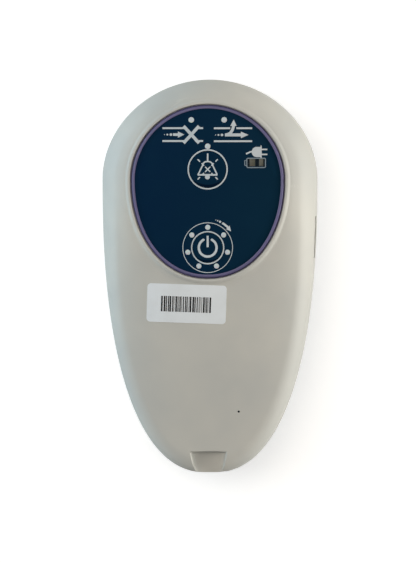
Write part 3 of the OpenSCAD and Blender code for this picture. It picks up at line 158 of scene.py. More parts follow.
def circuitBoard(name, look):
    # FR-4 laminate under green solder resist: even gloss, darker copper planes and fine traces below it
    material, tree, coords = startMaterial(name)
    planes = addNode(tree, "ShaderNodeTexVoronoi", {
        "Scale": perMetre(look["planeMm"]), "distance": "CHEBYCHEV", "Vector": coords})
    traces = addNode(tree, "ShaderNodeTexBrick", {
        "Scale": perMetre(look["traceMm"]), "Mortar Size": 0.03, "Color1": look["trace"],
        "Color2": look["traceShade"], "Mortar": look["gap"], "Vector": coords})
    colour = mixOf(tree, 0.35, traces.outputs["Color"], look["colour"])
    return endMaterial(material, {
        "Base Color": mixOf(tree, planes.outputs["Distance"], colour, look["plane"]), "Roughness": 0.3,
        "Normal": bumpOf(tree, traces.outputs["Fac"], 0.3, 0.03), "IOR": 1.55})


def woundCopper(name, look):
    # Enamelled copper wire of 0.2 mm, wound in layers: orange lines round the axis, drawn at 0.5 mm
    material, tree, coords = startMaterial(name)
    turns = addNode(tree, "ShaderNodeTexWave", {
        "Scale": perMetre(look["wireMm"]) / 20, "bands_direction": "Z", "Distortion": 0.6, "Detail": 1.0,
        "Vector": coords}).outputs["Fac"]
    return endMaterial(material, {
        "Metallic": 0.85, "Base Color": mixOf(tree, turns, look["colour"], look["shade"]),
        "Roughness": 0.35, "Normal": bumpOf(tree, turns, 0.7, 0.08)})


def sinteredMagnet(name, look):
    # Ferrite: dead grey black with a fine broken grain
    material, tree, coords = startMaterial(name)
    grain = noiseOf(tree, coords, look["grainMm"], 6.0, 0.7)
    return endMaterial(material, {
        "Base Color": mixOf(tree, grain, look["colour"], look["shade"]), "Roughness": 0.62, "IOR": 2.2,
        "Specular IOR Level": 0.3, "Normal": bumpOf(tree, grain, 0.6, 0.04)})


def acrossOf(tree, coords):
    return addNode(tree, "ShaderNodeSeparateXYZ", {"Vector": coords}).outputs["X"]


def printedFilm(name, look):
    # Back-printed polyester film with a matt hard coat: a soft velvet grain of about 0.15 mm that
    # spreads reflections, drawn at 0.3 mm, and faint rub marks from cleaning
    material, tree, coords = startMaterial(name)
    # painted light: the ink shifts from its colour to its shade along X, warmer towards +X, the side the warm
    # key lamp lights
    warmSideShare = rangeOf(tree, acrossOf(tree, coords), fromLow=-0.03, fromHigh=0.03)
    ink = mixOf(tree, warmSideShare, look["colour"], look["shade"])
    cloud = noiseOf(tree, coords, 9, 4.0)
    rubbed = rangeOf(tree, cloud, 0.0, look.get("rubShare", 0.3), 0.45, 0.8)
    return endMaterial(material, {
        "Base Color": mixOf(tree, rubbed, ink, look["rub"]),
        "Roughness": rangeOf(tree, cloud, look["rough"] - 0.05, look["rough"] + 0.1),
        "Normal": bumpOf(tree, noiseOf(tree, coords, 0.3, 2.0), 0.5, 0.01),
        "IOR": 1.5, "Specular IOR Level": look["specular"]})


def lightPipe(name, look):
    # Polycarbonate light pipe, diffusing grade: its face looks like milky ink while the light is off,
    # and the two battery bars, right of x = 15 mm, are smoked
    material, tree, coords = startMaterial(name)
    isBar = mathOf(tree, "GREATER_THAN", acrossOf(tree, coords), 0.015)
    haze = noiseOf(tree, coords, 1.2, 3.0)
    dots = mixOf(tree, haze, look["colour"], look["shade"])
    bars = mixOf(tree, haze, look["bar"], look["barShade"])
    return endMaterial(material, {
        "Base Color": mixOf(tree, isBar, dots, bars), "Roughness": 0.38, "IOR": 1.58,
        "Subsurface Weight": 0.2, "Subsurface Scale": 0.001, "Specular IOR Level": 0.3,
        "Normal": bumpOf(tree, haze, 0.3, 0.02)})


finishes = {}


def addFinish(kind, name, **look):
    finishes[name] = kind(name, look)


# Painted-look ABS of the front shell: warm light grey, spark-eroded grain about 0.25 mm,
# drawn at 0.5 mm so that the render shows it
addFinish(mouldedPlastic, "housingAbs", colour="#c3c2ba", shade="#b7b8b3", edge="#d8d7cf", wear=0.35,
          cloudMm=38, grainMm=0.5, grainDepthMm=0.018, rough=0.52, specular=0.35)
# ABS of the rear shell: the same resin a shade darker, from a coarser mould
addFinish(mouldedPlastic, "rearAbs", colour="#a9aaa6", shade="#9c9e9c", edge="#c2c2bc", wear=0.35,
          cloudMm=30, grainMm=0.6, grainDepthMm=0.025, rough=0.58, specular=0.35)
# Tinted polycarbonate bezel: purple grey, satin, its rim rubbed paler by handling
addFinish(mouldedPlastic, "bezelPc", colour="#5a547c", shade="#524f72", edge="#8d8aa6", wear=0.4,
          cloudMm=16, grainMm=0.4, grainDepthMm=0.01, rough=0.42, ior=1.58, specular=0.3)
# Nylon 6 of the connectors and nozzles: milky white, waxy
addFinish(mouldedPlastic, "whiteNylon", colour="#e2e0d6", shade="#d6d3c6", edge="#efeee8", wear=0.3,
          cloudMm=7, grainMm=0.4, grainDepthMm=0.006, rough=0.42)
# Glass-filled black PBT of sockets, buzzer and switches: charcoal with a dry sheen
addFinish(mouldedPlastic, "blackPbt", colour="#1d1e20", shade="#26272a", edge="#4a4b4e", wear=0.4,
          cloudMm=6, grainMm=0.3, grainDepthMm=0.012, rough=0.5)
# Glass-filled nylon of the pump: dark grey with paler fibre marks at its edges
addFinish(mouldedPlastic, "greyNylon", colour="#3f4245", shade="#4a4d50", edge="#7c8084", wear=0.5,
          cloudMm=8, grainMm=0.35, grainDepthMm=0.02, rough=0.5)
# Acetal of the connecting rod and the switch plungers: ivory, slippery
addFinish(mouldedPlastic, "ivoryAcetal", colour="#e4dfcb", shade="#d8d2bb", edge="#f0ecdd", wear=0.3,
          cloudMm=4, grainMm=0.3, grainDepthMm=0.004, rough=0.32)
# PVC shrink sleeve of the cells: blue, tight and a little glossy
addFinish(mouldedPlastic, "cellSleeve", colour="#2f6ea6", shade="#2a6499", edge="#5b92c2", wear=0.4,
          cloudMm=12, grainMm=0.8, grainDepthMm=0.01, rough=0.3)
# Filled polyester of the rating plate: matt off-white
addFinish(mouldedPlastic, "plateFoil", colour="#d9dad7", shade="#cfd1ce", edge="#e4e5e2", wear=0.2,
          cloudMm=14, grainMm=0.3, grainDepthMm=0.004, rough=0.45)

# Zinc-plated carbon steel of the screws and the strap: bright with a blue cast
addFinish(workedMetal, "zincSteel", colour="#c9ccd2", shade="#a9adb6", rough=0.32, lineMm=0.25,
          patchMm=2.5, depthMm=0.006, stretch=(1, 1, 0.2))
# Deep-drawn plated steel of the motor: long drawing lines along its axis
addFinish(workedMetal, "drawnSteel", colour="#b4b6b8", shade="#94979b", rough=0.34, lineMm=0.5,
          patchMm=9, depthMm=0.008, stretch=(1, 0.06, 1))
# Ground steel of bearing, shaft and valve: fine rings across the axis
addFinish(workedMetal, "groundSteel", colour="#bfc1c4", shade="#a3a6ab", rough=0.2, lineMm=0.2,
          patchMm=3, depthMm=0.003, stretch=(0.3, 2, 0.3))
# Nickel strip of the battery tabs: soft warm grey, rolled lengthwise
addFinish(workedMetal, "rolledNickel", colour="#b9b3a6", shade="#a29c90", rough=0.3, lineMm=0.3,
          patchMm=3, depthMm=0.005, stretch=(0.1, 1, 1))
# Turned brass of the eccentric: yellow with fine tool marks
addFinish(workedMetal, "turnedBrass", colour="#c9a14e", shade="#a9843a", rough=0.28, lineMm=0.25,
          patchMm=3, depthMm=0.006, stretch=(0.3, 2, 0.3))
# Gold flash over nickel on the contacts
addFinish(workedMetal, "goldFlash", colour="#d8b25a", shade="#c39a45", rough=0.22, lineMm=0.2,
          patchMm=1.5, depthMm=0.002, stretch=(0.2, 1, 1))

# EPDM of the housing gasket and the pump's cradles: black and dusty
addFinish(softRubber, "gasketEpdm", colour="#232425", shade="#2e2f31", rough=0.75, dustMm=3, skinMm=0.3,
          depthMm=0.01, bloom=0.2)
# Silicone of diaphragm, flaps and nozzle seals: brick red, matt
addFinish(softRubber, "redSilicone", colour="#a4412f", shade="#96382a", rough=0.55, dustMm=2, skinMm=0.4,
          depthMm=0.008, bloom=0.15)
# Extruded silicone of the tubes: milky, lets light into its wall
addFinish(softRubber, "tubeSilicone", colour="#d8dcdc", shade="#c9cecf", rough=0.32, dustMm=6, skinMm=0.5,
          depthMm=0.005, glow=0.4, clear=0.25)
# Softened PVC of the lead sleeves: dark red, blackened in long patches
addFinish(softRubber, "leadPvc", colour="#8e2420", shade="#2a2a2c", rough=0.4, dustMm=60, skinMm=0.4,
          depthMm=0.004, bloom=0.05)

# Main board and battery protection board
addFinish(circuitBoard, "resistBoard", colour="#174a2f", plane="#2a6e47", trace="#1c5a38",
          traceShade="#22663f", gap="#2f7d50", planeMm=7, traceMm=4)
# Windings of the motor and the valve
addFinish(woundCopper, "woundCopper", colour="#7a3d1c", shade="#c97a3f", wireMm=0.5)
# Magnets of the motor
addFinish(sinteredMagnet, "ferrite", colour="#34363a", shade="#4b4e53", grainMm=0.4)

# Deep navy ink behind the panel's film
addFinish(printedFilm, "navyFilm", colour="#01213c", shade="#07273a", rub="#0b2c40", rough=0.6, specular=0.03)
# Silicone-keycap navy of the buttons, the same ink on a softer base
addFinish(printedFilm, "navyKey", colour="#02223b", shade="#072639", rub="#0b2d40", rough=0.65, specular=0.03)
# Silver-grey screen ink of the symbols: thin, opaque, slightly uneven
addFinish(printedFilm, "paleInk", colour="#c6d0d6", shade="#cdd2d4", rub="#aab7bf", rubShare=0.5, rough=0.6,
          specular=0.15)
# The same ink in a thin screen for the battery outline: the navy shows through
addFinish(printedFilm, "faintInk", colour="#7f8d96", shade="#84919a", rub="#6a7983", rubShare=0.5, rough=0.6,
          specular=0.1)
# Black mask ink under the film: the window of the battery lights
addFinish(printedFilm, "blackInk", colour="#101a22", shade="#141c21", rub="#18242c", rough=0.6, specular=0.03)
# Painted shade: a deeper navy for the crescents laid where the keys' low edges would be in shade
addFinish(printedFilm, "midnightInk", colour="#010f22", shade="#031326", rub="#05182c", rough=0.7,
          specular=0.02)
# Coated paper of the asset label: white, satin, a little soiled
addFinish(printedFilm, "labelPaper", colour="#e6ecf0", shade="#e3e8ea", rub="#d5dadb", rubShare=0.5,
          rough=0.5, specular=0.15)
# Thermal print on the label: soft black, worn in places
addFinish(printedFilm, "labelPrint", colour="#17181b", shade="#1c1d20", rub="#4a4c4f", rubShare=0.4,
          rough=0.6, specular=0.05)
# Day lights, status lights and battery bars
addFinish(lightPipe, "lightPipe", colour="#ccd3d6", shade="#bcc6cb", bar="#35362b", barShade="#444232")
print("finishes made:", len(finishes))


# Shapes that repeat

def power(value, exponent):
    return math.copysign(abs(value) ** exponent, value)


def eggPoint(egg, turn):
    # point of a closed outline of two half superellipses that share their widest line
    c, s = math.cos(math.radians(turn)), math.sin(math.radians(turn))
    half = "head" if s >= 0 else "tail"
    exponent = 2 / egg[half + "Power"]
    return Vector((egg["width"] / 2 * power(c, exponent), egg["widestY"] + egg[half] * power(s, exponent), 0))


def eggLoop(egg, turns):
    return [eggPoint(egg, turn) for turn in turns]


def evenTurns(egg, spacing):
    # turns that place the points spacing(point) mm apart along the outline
    turns, travelled, last = [0.0], 0.0, eggPoint(egg, 0)
    steps = 36000
    for k in range(1, steps):
        turn = 360.0 * k / steps
        here = eggPoint(egg, turn)
        travelled += (here - last).length
        last = here
        if travelled >= spacing(here):
            turns.append(turn)
            travelled = 0.0
    return turns


def inset(loop, distance):
    # outline moved inwards by a distance
    count = len(loop)
    moved = []
    for i, p in enumerate(loop):
        way = loop[(i + 1) % count] - loop[i - 1]
        way.normalize()
        moved.append(p + distance * Vector((-way.y, way.x, 0)))
    return moved


def lift(loop, z):
    return [Vector((p.x, p.y, z)) for p in loop]


def smoothLeast(a, b, blend):
    # the lesser of two heights, with a fillet of about that size where they meet
    h = max(blend - abs(a - b), 0.0) / blend
    return min(a, b) - h * h * blend / 4


def smoothMost(a, b, blend):
    return -smoothLeast(-a, -b, blend)


def clamp01(v):
    return min(1.0, max(0.0, v))


def quarter(steps, first=0):
    # angles from 0 to a right angle, from step number first on
    return [math.pi / 2 * k / steps for k in range(first, steps + 1)]


def onCircle(x, y, radius, angle):
    return Vector((x + radius * math.cos(angle), y + radius * math.sin(angle), 0))


def circle(x, y, radius, count=48):
    return [onCircle(x, y, radius, math.tau * k / count) for k in range(count)]


def roundedBox(x, y, width, length, corner, grow=0.0, steps=8):
    # outline of a rectangle with round corners, grown all round
    points = []
    for k, (sx, sy) in enumerate(((1, 1), (-1, 1), (-1, -1), (1, -1))):
        for s in range(steps + 1):
            points.append(onCircle(x + sx * (width / 2 - corner), y + sy * (length / 2 - corner),
                                   corner + grow, math.pi / 2 * (k + s / steps)))
    return points


def facingX(loop, x, y, z):
    # outline stood up so that it faces along X
    return [Vector((x, y + p.x, z + p.y)) for p in loop]


def facingY(loop, x, y, z):
    return [Vector((x + p.x, y, z + p.y)) for p in loop][::-1]


def turned(points, matrix):
    return [matrix @ p for p in points]


def spinAt(x, y, degrees):
    return Matrix.Translation((x, y, 0)) @ Matrix.Rotation(math.radians(degrees), 4, "Z")


def meshObject(name, points, faces, finish):
    mesh = bpy.data.meshes.new(name)
    mesh.from_pydata([tuple(c * mm for c in p) for p in points], [], faces)
    mesh.validate()
    mesh.update()
    shaped = bpy.data.objects.new(name, mesh)
    bpy.context.scene.collection.objects.link(shaped)
    if finish:
        mesh.materials.append(finishes[finish])
    return shaped


def loft(rings, ends=True):
    # points and faces of a skin over rings of equal count; without ends the last joins the first
    count, rows = len(rings[0]), len(rings)
    points = [p for ring in rings for p in ring]
    faces = []
    for k in range(rows - 1 if ends else rows):
        here, above = k * count, (k + 1) % rows * count
        for i in range(count):
            j = (i + 1) % count
            faces.append((here + i, here + j, above + j, above + i))
    if ends:
        faces.append(tuple(range(count - 1, -1, -1)))
        faces.append(tuple((rows - 1) * count + i for i in range(count)))
    return points, faces


def loftObject(name, rings, finish, ends=True):
    return meshObject(name, *loft(rings, ends), finish)


def tool(rings, ends=True):
    # helper solid that is cut out or joined on
    return loftObject("tool", rings, None, ends)


def rod(x, y, radius, low, high, flare=0.0, count=48):
    # upright round tool; flare widens its mouth on the back with a small chamfer
    mouth = [(low, flare), (0.0, flare), (flare, 0.0)] if flare else [(low, 0.0)]
    return tool([lift(circle(x, y, radius + grow, count), z) for z, grow in mouth + [(high, 0.0)]])


def block(x, y, width, length, corner, steps):
    # upright tool with round corners; a step is a height and how far the outline grows there
    return tool([lift(roundedBox(x, y, width, length, corner, grow), z) for z, grow in steps])


def bar(x, y, z, steps, count=32):
    # round tool along Y; a step is a place along it and the radius there
    return tool([facingY(circle(0, 0, radius, count), x, y + along, z) for along, radius in steps])


def carve(target, tools, operation="DIFFERENCE"):
    # cuts or joins helper solids, then drops them
    for helper in tools:
        step = target.modifiers.new("carve", "BOOLEAN")
        step.operation = operation
        step.solver = "MANIFOLD"
        step.object = helper
    graph = bpy.context.evaluated_depsgraph_get()
    cut = bpy.data.meshes.new_from_object(target.evaluated_get(graph))
    target.modifiers.clear()
    target.data = cut
    for helper in tools:
        bpy.data.objects.remove(helper)
    return target


def smoothByAngle(shaped, degrees=32):
    for face in shaped.data.polygons:
        face.use_smooth = True
    shaped.data.set_sharp_from_angle(angle=math.radians(degrees))
    return shaped


def place(shaped, body, *replaced):
    # a piece rides on its body and stands for the nodes it replaces
    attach(shaped, body)
    if replaced:
        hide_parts(*replaced)
    return shaped


# The casing's outlines and skins, from the same sizes as the CAD

case = {
    "width": 89.0, "head": 41.2, "tail": 122.3, "headPower": 1.95, "tailPower": 2.365, "widestY": 40.3,
    "depth": 38.0, "tailFall": 9.0, "headFall": 7.0, "shoulderWidth": 7.0, "shoulderHeight": 4.0,
    "shoulder": 2.4, "crown": 1.2, "wall": 2.4, "draft": 0.4, "rimZ": 12.0, "plugZ": 15.0, "plugIn": 2.7,
    "tubIn": 4.9, "backWall": 2.2, "backEdge": 5.0, "tailY": -82.0, "flatY": -81.5}
panel = {
    "width": 63.6, "head": 31.0, "tail": 40.7, "headPower": 1.975, "tailPower": 2.11, "widestY": 39.5,
    "footZ": 37.0, "seatZ": 35.8, "ceilingZ": 33.4, "lip": 2.4, "gap": 0.35, "ledge": 3.4}
notch = {
    "ledgeY": -72.7, "length": 8.8, "width": 16.8, "endWidth": 12.8, "floorZ": 26.4, "slope": 12.0,
    "hollow": 15.0, "fillet": 1.5, "mouth": 0.7, "sideRun": 1.5, "sideSteep": 2.6, "ledgeRun": 0.5,
    "ledgeSteep": 7.0, "reachX": 12.5, "reachY": -70.0}


def shellSpacing(p):
    # fine where the latch notch lies, 1 mm elsewhere
    return 0.25 if p.y < 0 and abs(p.x) < 11.5 else 1.0


shellTurns = evenTurns(case, shellSpacing)
outline = eggLoop(case, shellTurns)
panelOutline = eggLoop(panel, shellTurns)


def edgeZ(y):
    rise = math.sin(math.pi / 2 * clamp01((y - case["tailY"]) / (0.9 * case["tail"])))
    return case["depth"] - case["tailFall"] + (case["tailFall"] - case["headFall"]) * rise


def skinZ(x, top, footZ, run, w, h):
    # height of a skin x inwards of its edge: the crown, rounded off by a shoulder w wide and h high
    crown = top + (footZ - top) * (1 - max(0.0, 1 - x / run) ** case["crown"])
    return top - h + (crown - top + h) * math.sqrt(1 - (1 - min(1.0, x / w)) ** case["shoulder"])


def skin(d, footZ, shoulderSteps, crownShares):
    # rings of the front skin, lying d inside the outer one: shoulder, then crown up to the lip's foot
    base = inset(outline, d + case["draft"])
    foot = inset(panelOutline, -panel["lip"])
    w = case["shoulderWidth"] - d * 0.6
    h = case["shoulderHeight"] - d * 0.6
    lines = []
    for p, b, f, n in zip(outline, base, foot, inset(base, 1.0)):
        lines.append((b, f, min(edgeZ(p.y) - d, footZ - 0.3), (f - b).dot(n - b)))

    def ringAt(start, share):
        # start mm in from the edge, and from there share of the way to the foot
        ring = []
        for b, f, top, run in lines:
            x = start + (run - start) * share
            ring.append(Vector((*(b + (f - b) * (x / run)).xy, skinZ(x, top, footZ, run, w, h))))
        return ring

    shoulder = [ringAt(w * (1 - math.cos(angle)), 0.0) for angle in quarter(shoulderSteps)[:-1]]
    return shoulder + [ringAt(w, share) for share in [0.0] + crownShares]


def notchZ(x, y):
    # height of the latch notch: a hollow floor that falls to the tail, soft side walls and a steeper ledge
    back = notch["ledgeY"] - y
    floor = notch["floorZ"] - max(back, -2.0) * math.tan(math.radians(notch["slope"]))
    floor += notch["hollow"] - math.sqrt(notch["hollow"] ** 2 - min(abs(x), 12.0) ** 2)
    share = clamp01(back / notch["length"])
    half = (notch["width"] * (1 - share) + notch["endWidth"] * share) / 2
    side = floor + (abs(x) - half + notch["sideRun"]) * notch["sideSteep"]
    ledge = floor + (y - notch["ledgeY"] + notch["ledgeRun"]) * notch["ledgeSteep"]
    return smoothMost(smoothMost(floor, side, notch["fillet"]), ledge, 0.5)


def flatTail(ring, below=0.0):
    for p in ring:
        p.y = smoothMost(p.y, case["flatY"] + below * 0.4, 0.4)
    return ring


def sinkNotch(ring, below):
    # presses the notch into the skin, and flattens the end of the tail
    for p in ring:
        if p.y < notch["reachY"] and abs(p.x) < notch["reachX"]:
            p.z = smoothLeast(p.z, notchZ(p.x, p.y) - below, notch["mouth"])
    return flatTail(ring, below)


# shares of the crown's run: fine over the notch's ledge, wider over the rest
crownShares = [0.0036 * k for k in range(1, 21)] + [0.072 + 0.928 * (k / 26) ** 1.15 for k in range(1, 27)]
outerSkin = [sinkNotch(ring, 0.0) for ring in skin(0.0, panel["footZ"], 30, crownShares)]
innerSkin = [sinkNotch(ring, case["wall"])
             for ring in skin(case["wall"], panel["ceilingZ"], 8, crownShares[4::5])]


def panelRing(grow, z):
    return lift(inset(panelOutline, -grow), z)


def caseRing(within, z):
    return lift(inset(outline, within), z)


def roundRings(within, radius, z, turns):
    # quarter-round rings of a lower edge, from the turns of the quarter
    return [caseRing(within + radius * (1 - math.sin(a)), z + radius * (1 - math.cos(a))) for a in turns]


def lipRings():
    # the raised lip: a soft rise from the crown, a round top and a small inner edge
    rise = [(panel["lip"] - 1.45 * (k / 8), panel["footZ"] + 0.8 * math.sin(math.pi / 2 * (k / 8)) ** 1.3)
            for k in range(1, 9)]
    inner = [(panel["gap"] + 0.25 * (1 - math.sin(angle)), panel["footZ"] + 0.55 + 0.25 * math.cos(angle))
             for angle in quarter(4)]
    return [panelRing(grow, z) for grow, z in rise + inner]


# Casing: places of the screws, the port door's bay and the dock, then the two shells

towers = [(20.84, 67.27), (-20.84, 67.27), (34.37, -8.17), (-34.37, -8.17), (18.25, -63.52), (-18.25, -63.52)]
towerTops = [33.5, 33.5, 30.6, 30.6, 28.8, 28.8]
boardScrews = [(23.2, 55.2), (-23.2, 55.2), (-23.3, 17.1), (23.3, 17.1)]
# radii of the towers, posts and holes of the housing screws, and of the small screws
screw = {"tower": 2.7, "pilot": 1.3, "post": 3.5, "head": 2.8, "headZ": 3.2, "shaft": 1.5, "flare": 0.35}
smallScrew = {"tower": 2.2, "pilot": 0.95}
# a bay, socket, slot or box is given as width, length or height, and corner radius
door = {
    "x": 43.2, "thick": 1.6, "y": 16.0, "width": 17.0, "hingeX": 42.15, "hingeZ": 17.2, "height": 7.4,
    "bay": (17.4, 8.84, 0.6), "bayZ": 20.38, "socket": (11.1, 5.1, 0.4), "socketZ": 20.9, "pinHole": 0.9}
nick = {"x": 45.8, "z": 25.1, "radius": 2.2, "half": 4.6}
dock = {
    "y": 65.0, "pocket": (30.0, 11.0, 1.2), "depth": 5.0, "chamfer": 0.5, "portX": 8.0, "suction": 3.05,
    "sensing": 2.25, "box": (33.6, 14.6, 1.0), "boxTopZ": 6.8}
hook = {"y": 76.0, "z": 6.6, "slot": (14.0, 4.4, 0.7), "box": (16.8, 5.6, 1.0), "boxTopZ": 10.2}
slits = {"x": -18.59, "y": -51.5, "pitch": 3.0, "slot": (1.2, 10.0, 0.59), "topZ": 4.2, "chamfer": 0.25}
# the two posts of the pump strap, either side of the motor
strapPosts = {"x": [1.987 - 15.47, 1.987 + 15.47], "y": -53.3, "topZ": 9.67}
buzzer = {"x": 29.7, "y": 14.0, "holeCircle": 3.0, "hole": 0.7}
plate = {"y": 14.0, "width": 44.0, "length": 30.0, "corner": 1.0, "sink": 0.4, "gap": 0.2}


def makeFrontShell():
    rings = [panelRing(-panel["ledge"], panel["ceilingZ"])] + innerSkin[::-1]
    rings += [caseRing(case["wall"], case["plugZ"] + 0.6), caseRing(case["wall"], case["rimZ"])]
    # quarter-round lower edge, then the drafted side
    rings += [flatTail(ring) for ring in roundRings(0.0, 0.5, case["rimZ"], quarter(5))]
    rings += [flatTail(caseRing(0.2, 16.5))] + outerSkin + lipRings()
    rings += [panelRing(panel["gap"], panel["seatZ"]), panelRing(-panel["ledge"], panel["seatZ"])]
    shell = loftObject("FrontShell", rings, "housingAbs", ends=False)
    joins = [rod(x, y, screw["tower"], 9.0, top) for (x, y), top in zip(towers, towerTops)]
    joins += [rod(x, y, smallScrew["tower"], 30.0, 34.4) for x, y in boardScrews]
    joins.append(block(39.4, door["y"], 5.6, 21.8, 0.8, [(15.2, 0.0), (27.0, 0.0)]))
    carve(shell, joins, "UNION")
    holes = [rod(x, y, screw["pilot"], 8.0, 17.0) for x, y in towers]
    holes += [rod(x, y, smallScrew["pilot"], 29.0, 34.0) for x, y in boardScrews]
    # bay of the port door, its mouth chamfered, then socket hole, pin holes and nail nick
    holes.append(tool([facingX(roundedBox(0, 0, *door["bay"], grow), x, door["y"], door["bayZ"])
                       for x, grow in ((40.995, 0.0), (44.1, 0.0), (44.6, 0.5), (46.5, 0.5))]))
    holes.append(tool([facingX(roundedBox(0, 0, *door["socket"]), x, door["y"], door["socketZ"])
                       for x in (37.0, 42.0)]))
    pinHole = [(along, door["pinHole"]) for along in (-10.1, 10.1)]
    holes.append(bar(door["hingeX"], door["y"], door["hingeZ"], pinHole, 24))
    nickSteps = []
    for k in range(15):
        along = nick["half"] * (k / 7 - 1)
        nickSteps.append((along, nick["radius"] * math.sqrt(max(0.02, 1 - (abs(along) / 4.7) ** 4))))
    holes.append(bar(nick["x"], door["y"], nick["z"], nickSteps))
    carve(shell, holes)
    return place(smoothByAngle(shell), "housing", "front_housing")


def pocket(x, y, width, length, corner, high, chamfer):
    # pocket tool with a chamfered mouth on the back and a filleted end
    steps = [(-1.0, chamfer), (0.0, chamfer), (chamfer, 0.0)]
    steps += [(high - 0.5, 0.0), (high - 0.15, -0.15), (high, -0.5)]
    return block(x, y, width, length, corner, steps)


def makeRearShell():
    edge, wall = case["backEdge"], case["backWall"]
    outer = roundRings(case["plugIn"], edge, 0.0, quarter(10))
    # side with the gasket's groove
    side = [caseRing(case["plugIn"] + d, z) for d, z in
            ((0.0, 9.0), (0.0, 12.45), (0.9, 12.5), (0.9, 13.9), (0.0, 13.95), (0.0, 14.8), (0.2, 15.0))]
    tub = [caseRing(case["tubIn"], case["plugZ"])]
    tub += roundRings(case["tubIn"], edge - wall, wall, quarter(10)[-2::-1])
    shell = loftObject("RearShell", outer + side + tub, "rearAbs")
    joins = [rod(x, y, screw["post"], 1.0, 9.0) for x, y in towers]
    joins += [rod(x, strapPosts["y"], smallScrew["tower"], 1.0, strapPosts["topZ"]) for x in strapPosts["x"]]
    for part in (dock, hook):
        joins.append(block(0, part["y"], *part["box"], [(1.0, 0.0), (part["boxTopZ"], 0.0)]))
    carve(shell, joins, "UNION")
    holes = []
    for x, y in towers:
        holes.append(rod(x, y, screw["head"], -1.0, screw["headZ"], screw["flare"]))
        holes.append(rod(x, y, screw["shaft"], 2.0, 14.0))
    holes.append(pocket(0, dock["y"], *dock["pocket"], dock["depth"], dock["chamfer"]))
    holes.append(tool([facingY(roundedBox(0, 0, *hook["slot"], grow), 0, y, hook["z"])
                       for y, grow in ((74.6, 0.0), (77.9, 0.0), (78.5, 0.5), (90.0, 0.9))]))
    holes.append(rod(-dock["portX"], dock["y"], dock["suction"], 4.0, 12.0))
    holes.append(rod(dock["portX"], dock["y"], dock["sensing"], 4.0, 12.0))
    holes += [rod(x, strapPosts["y"], smallScrew["pilot"], 3.4, 11.0) for x in strapPosts["x"]]
    # exhaust slits, then sound holes round the buzzer's middle
    for k in (-1.5, -0.5, 0.5, 1.5):
        x = slits["x"] + k * slits["pitch"]
        holes.append(pocket(x, slits["y"], *slits["slot"], slits["topZ"], slits["chamfer"]))
    for spot in circle(buzzer["x"], buzzer["y"], buzzer["holeCircle"], 6):
        holes.append(rod(spot.x, spot.y, buzzer["hole"], -1.0, slits["topZ"], slits["chamfer"], 24))
    carve(shell, holes)
    recess = [(-1.0, 0.15), (0.0, 0.15), (0.15, 0.0), (plate["sink"], 0.0)]
    carve(shell, [block(0, plate["y"], plate["width"], plate["length"], plate["corner"], recess)])
    # round wall that holds the buzzer
    steps = [(7.7, 2.0), (7.7, 3.8), (7.5, 4.0), (6.8, 4.0), (6.6, 3.8), (6.6, 2.0)]
    buzzerWall = [lift(circle(buzzer["x"], buzzer["y"], radius, 64), z) for radius, z in steps]
    carve(shell, [tool(buzzerWall, ends=False)], "UNION")
    return place(smoothByAngle(shell), "housing", "rear_housing")


frontShell = makeFrontShell()
print("front shell made")
makeRearShell()
print("rear shell made")


# Control panel: bezel, film, its symbols and lights

keys = {
    "alarm": {"y": 43.8, "radius": 7.5, "dish": 0.3, "lugTurns": (30, 150, 270), "holeSteps": 128,
              "shade": (7.22, 0.85, 52)},
    "power": {"y": 11.5, "radius": 6.1, "dish": 0.2, "lugTurns": [90 + k * 360 / 7 for k in (0.5, 2.5, 4.5)],
              "holeSteps": 112, "shade": (5.95, 0.75, 46)}}
key = {
    "gap": 0.2, "topZ": 37.9, "dishRun": 120, "edge": 0.35, "underZ": 34.9, "stemZ": 34.4, "stemRadius": 1.7,
    "lugReach": 1.6, "lugWidth": 3.0, "lugTopZ": 35.7}
lights = {"dayCircle": 8.4, "dayRadius": 1.05, "statusRadius": 1.15}
alarmY, powerY = keys["alarm"]["y"], keys["power"]["y"]
statusSpots = [(-6.8, 64.2), (6.8, 64.2), (0.0, 53.3)]
levelSpots = [(20.4 + s * 2.2, 46.6) for s in (-1, 1)]
# printed shapes, and the painted shade crescents on the keys, lie between these heights; those on a key are
# trimmed to its dish
filmPrint, keyPrintOrShade = (37.695, 37.74), (37.2, 38.4)
panelLoop = eggLoop(panel, evenTurns(panel, lambda p: 0.6))


def panelTools():
    # holes of the buttons and of every light, through bezel and film
    low, high, gap = 30.0, 40.0, 0.05
    tools = [rod(0, k["y"], k["radius"] + key["gap"], low, high, count=k["holeSteps"]) for k in keys.values()]
    dayTurns = [math.pi / 2 + math.tau * k / 7 for k in range(7)]
    spots = [(*onCircle(0, powerY, lights["dayCircle"], turn).xy, lights["dayRadius"]) for turn in dayTurns]
    spots += [(x, y, lights["statusRadius"]) for x, y in statusSpots]
    tools += [rod(x, y, radius + gap, low, high, count=32) for x, y, radius in spots]
    return tools + [block(x, y, 2.8, 3.0, 0.12, [(low, gap), (high, gap)]) for x, y in levelSpots]


# chips knocked out of the bezel's rim: place, radius, depth
bezelChips = [
    (31.8, 38.8, 0.9, 0.4), (-31.75, 37.8, 0.7, 0.3), (-7.5, 0.2, 0.8, 0.22), (-5.6, -0.4, 0.6, 0.18)]


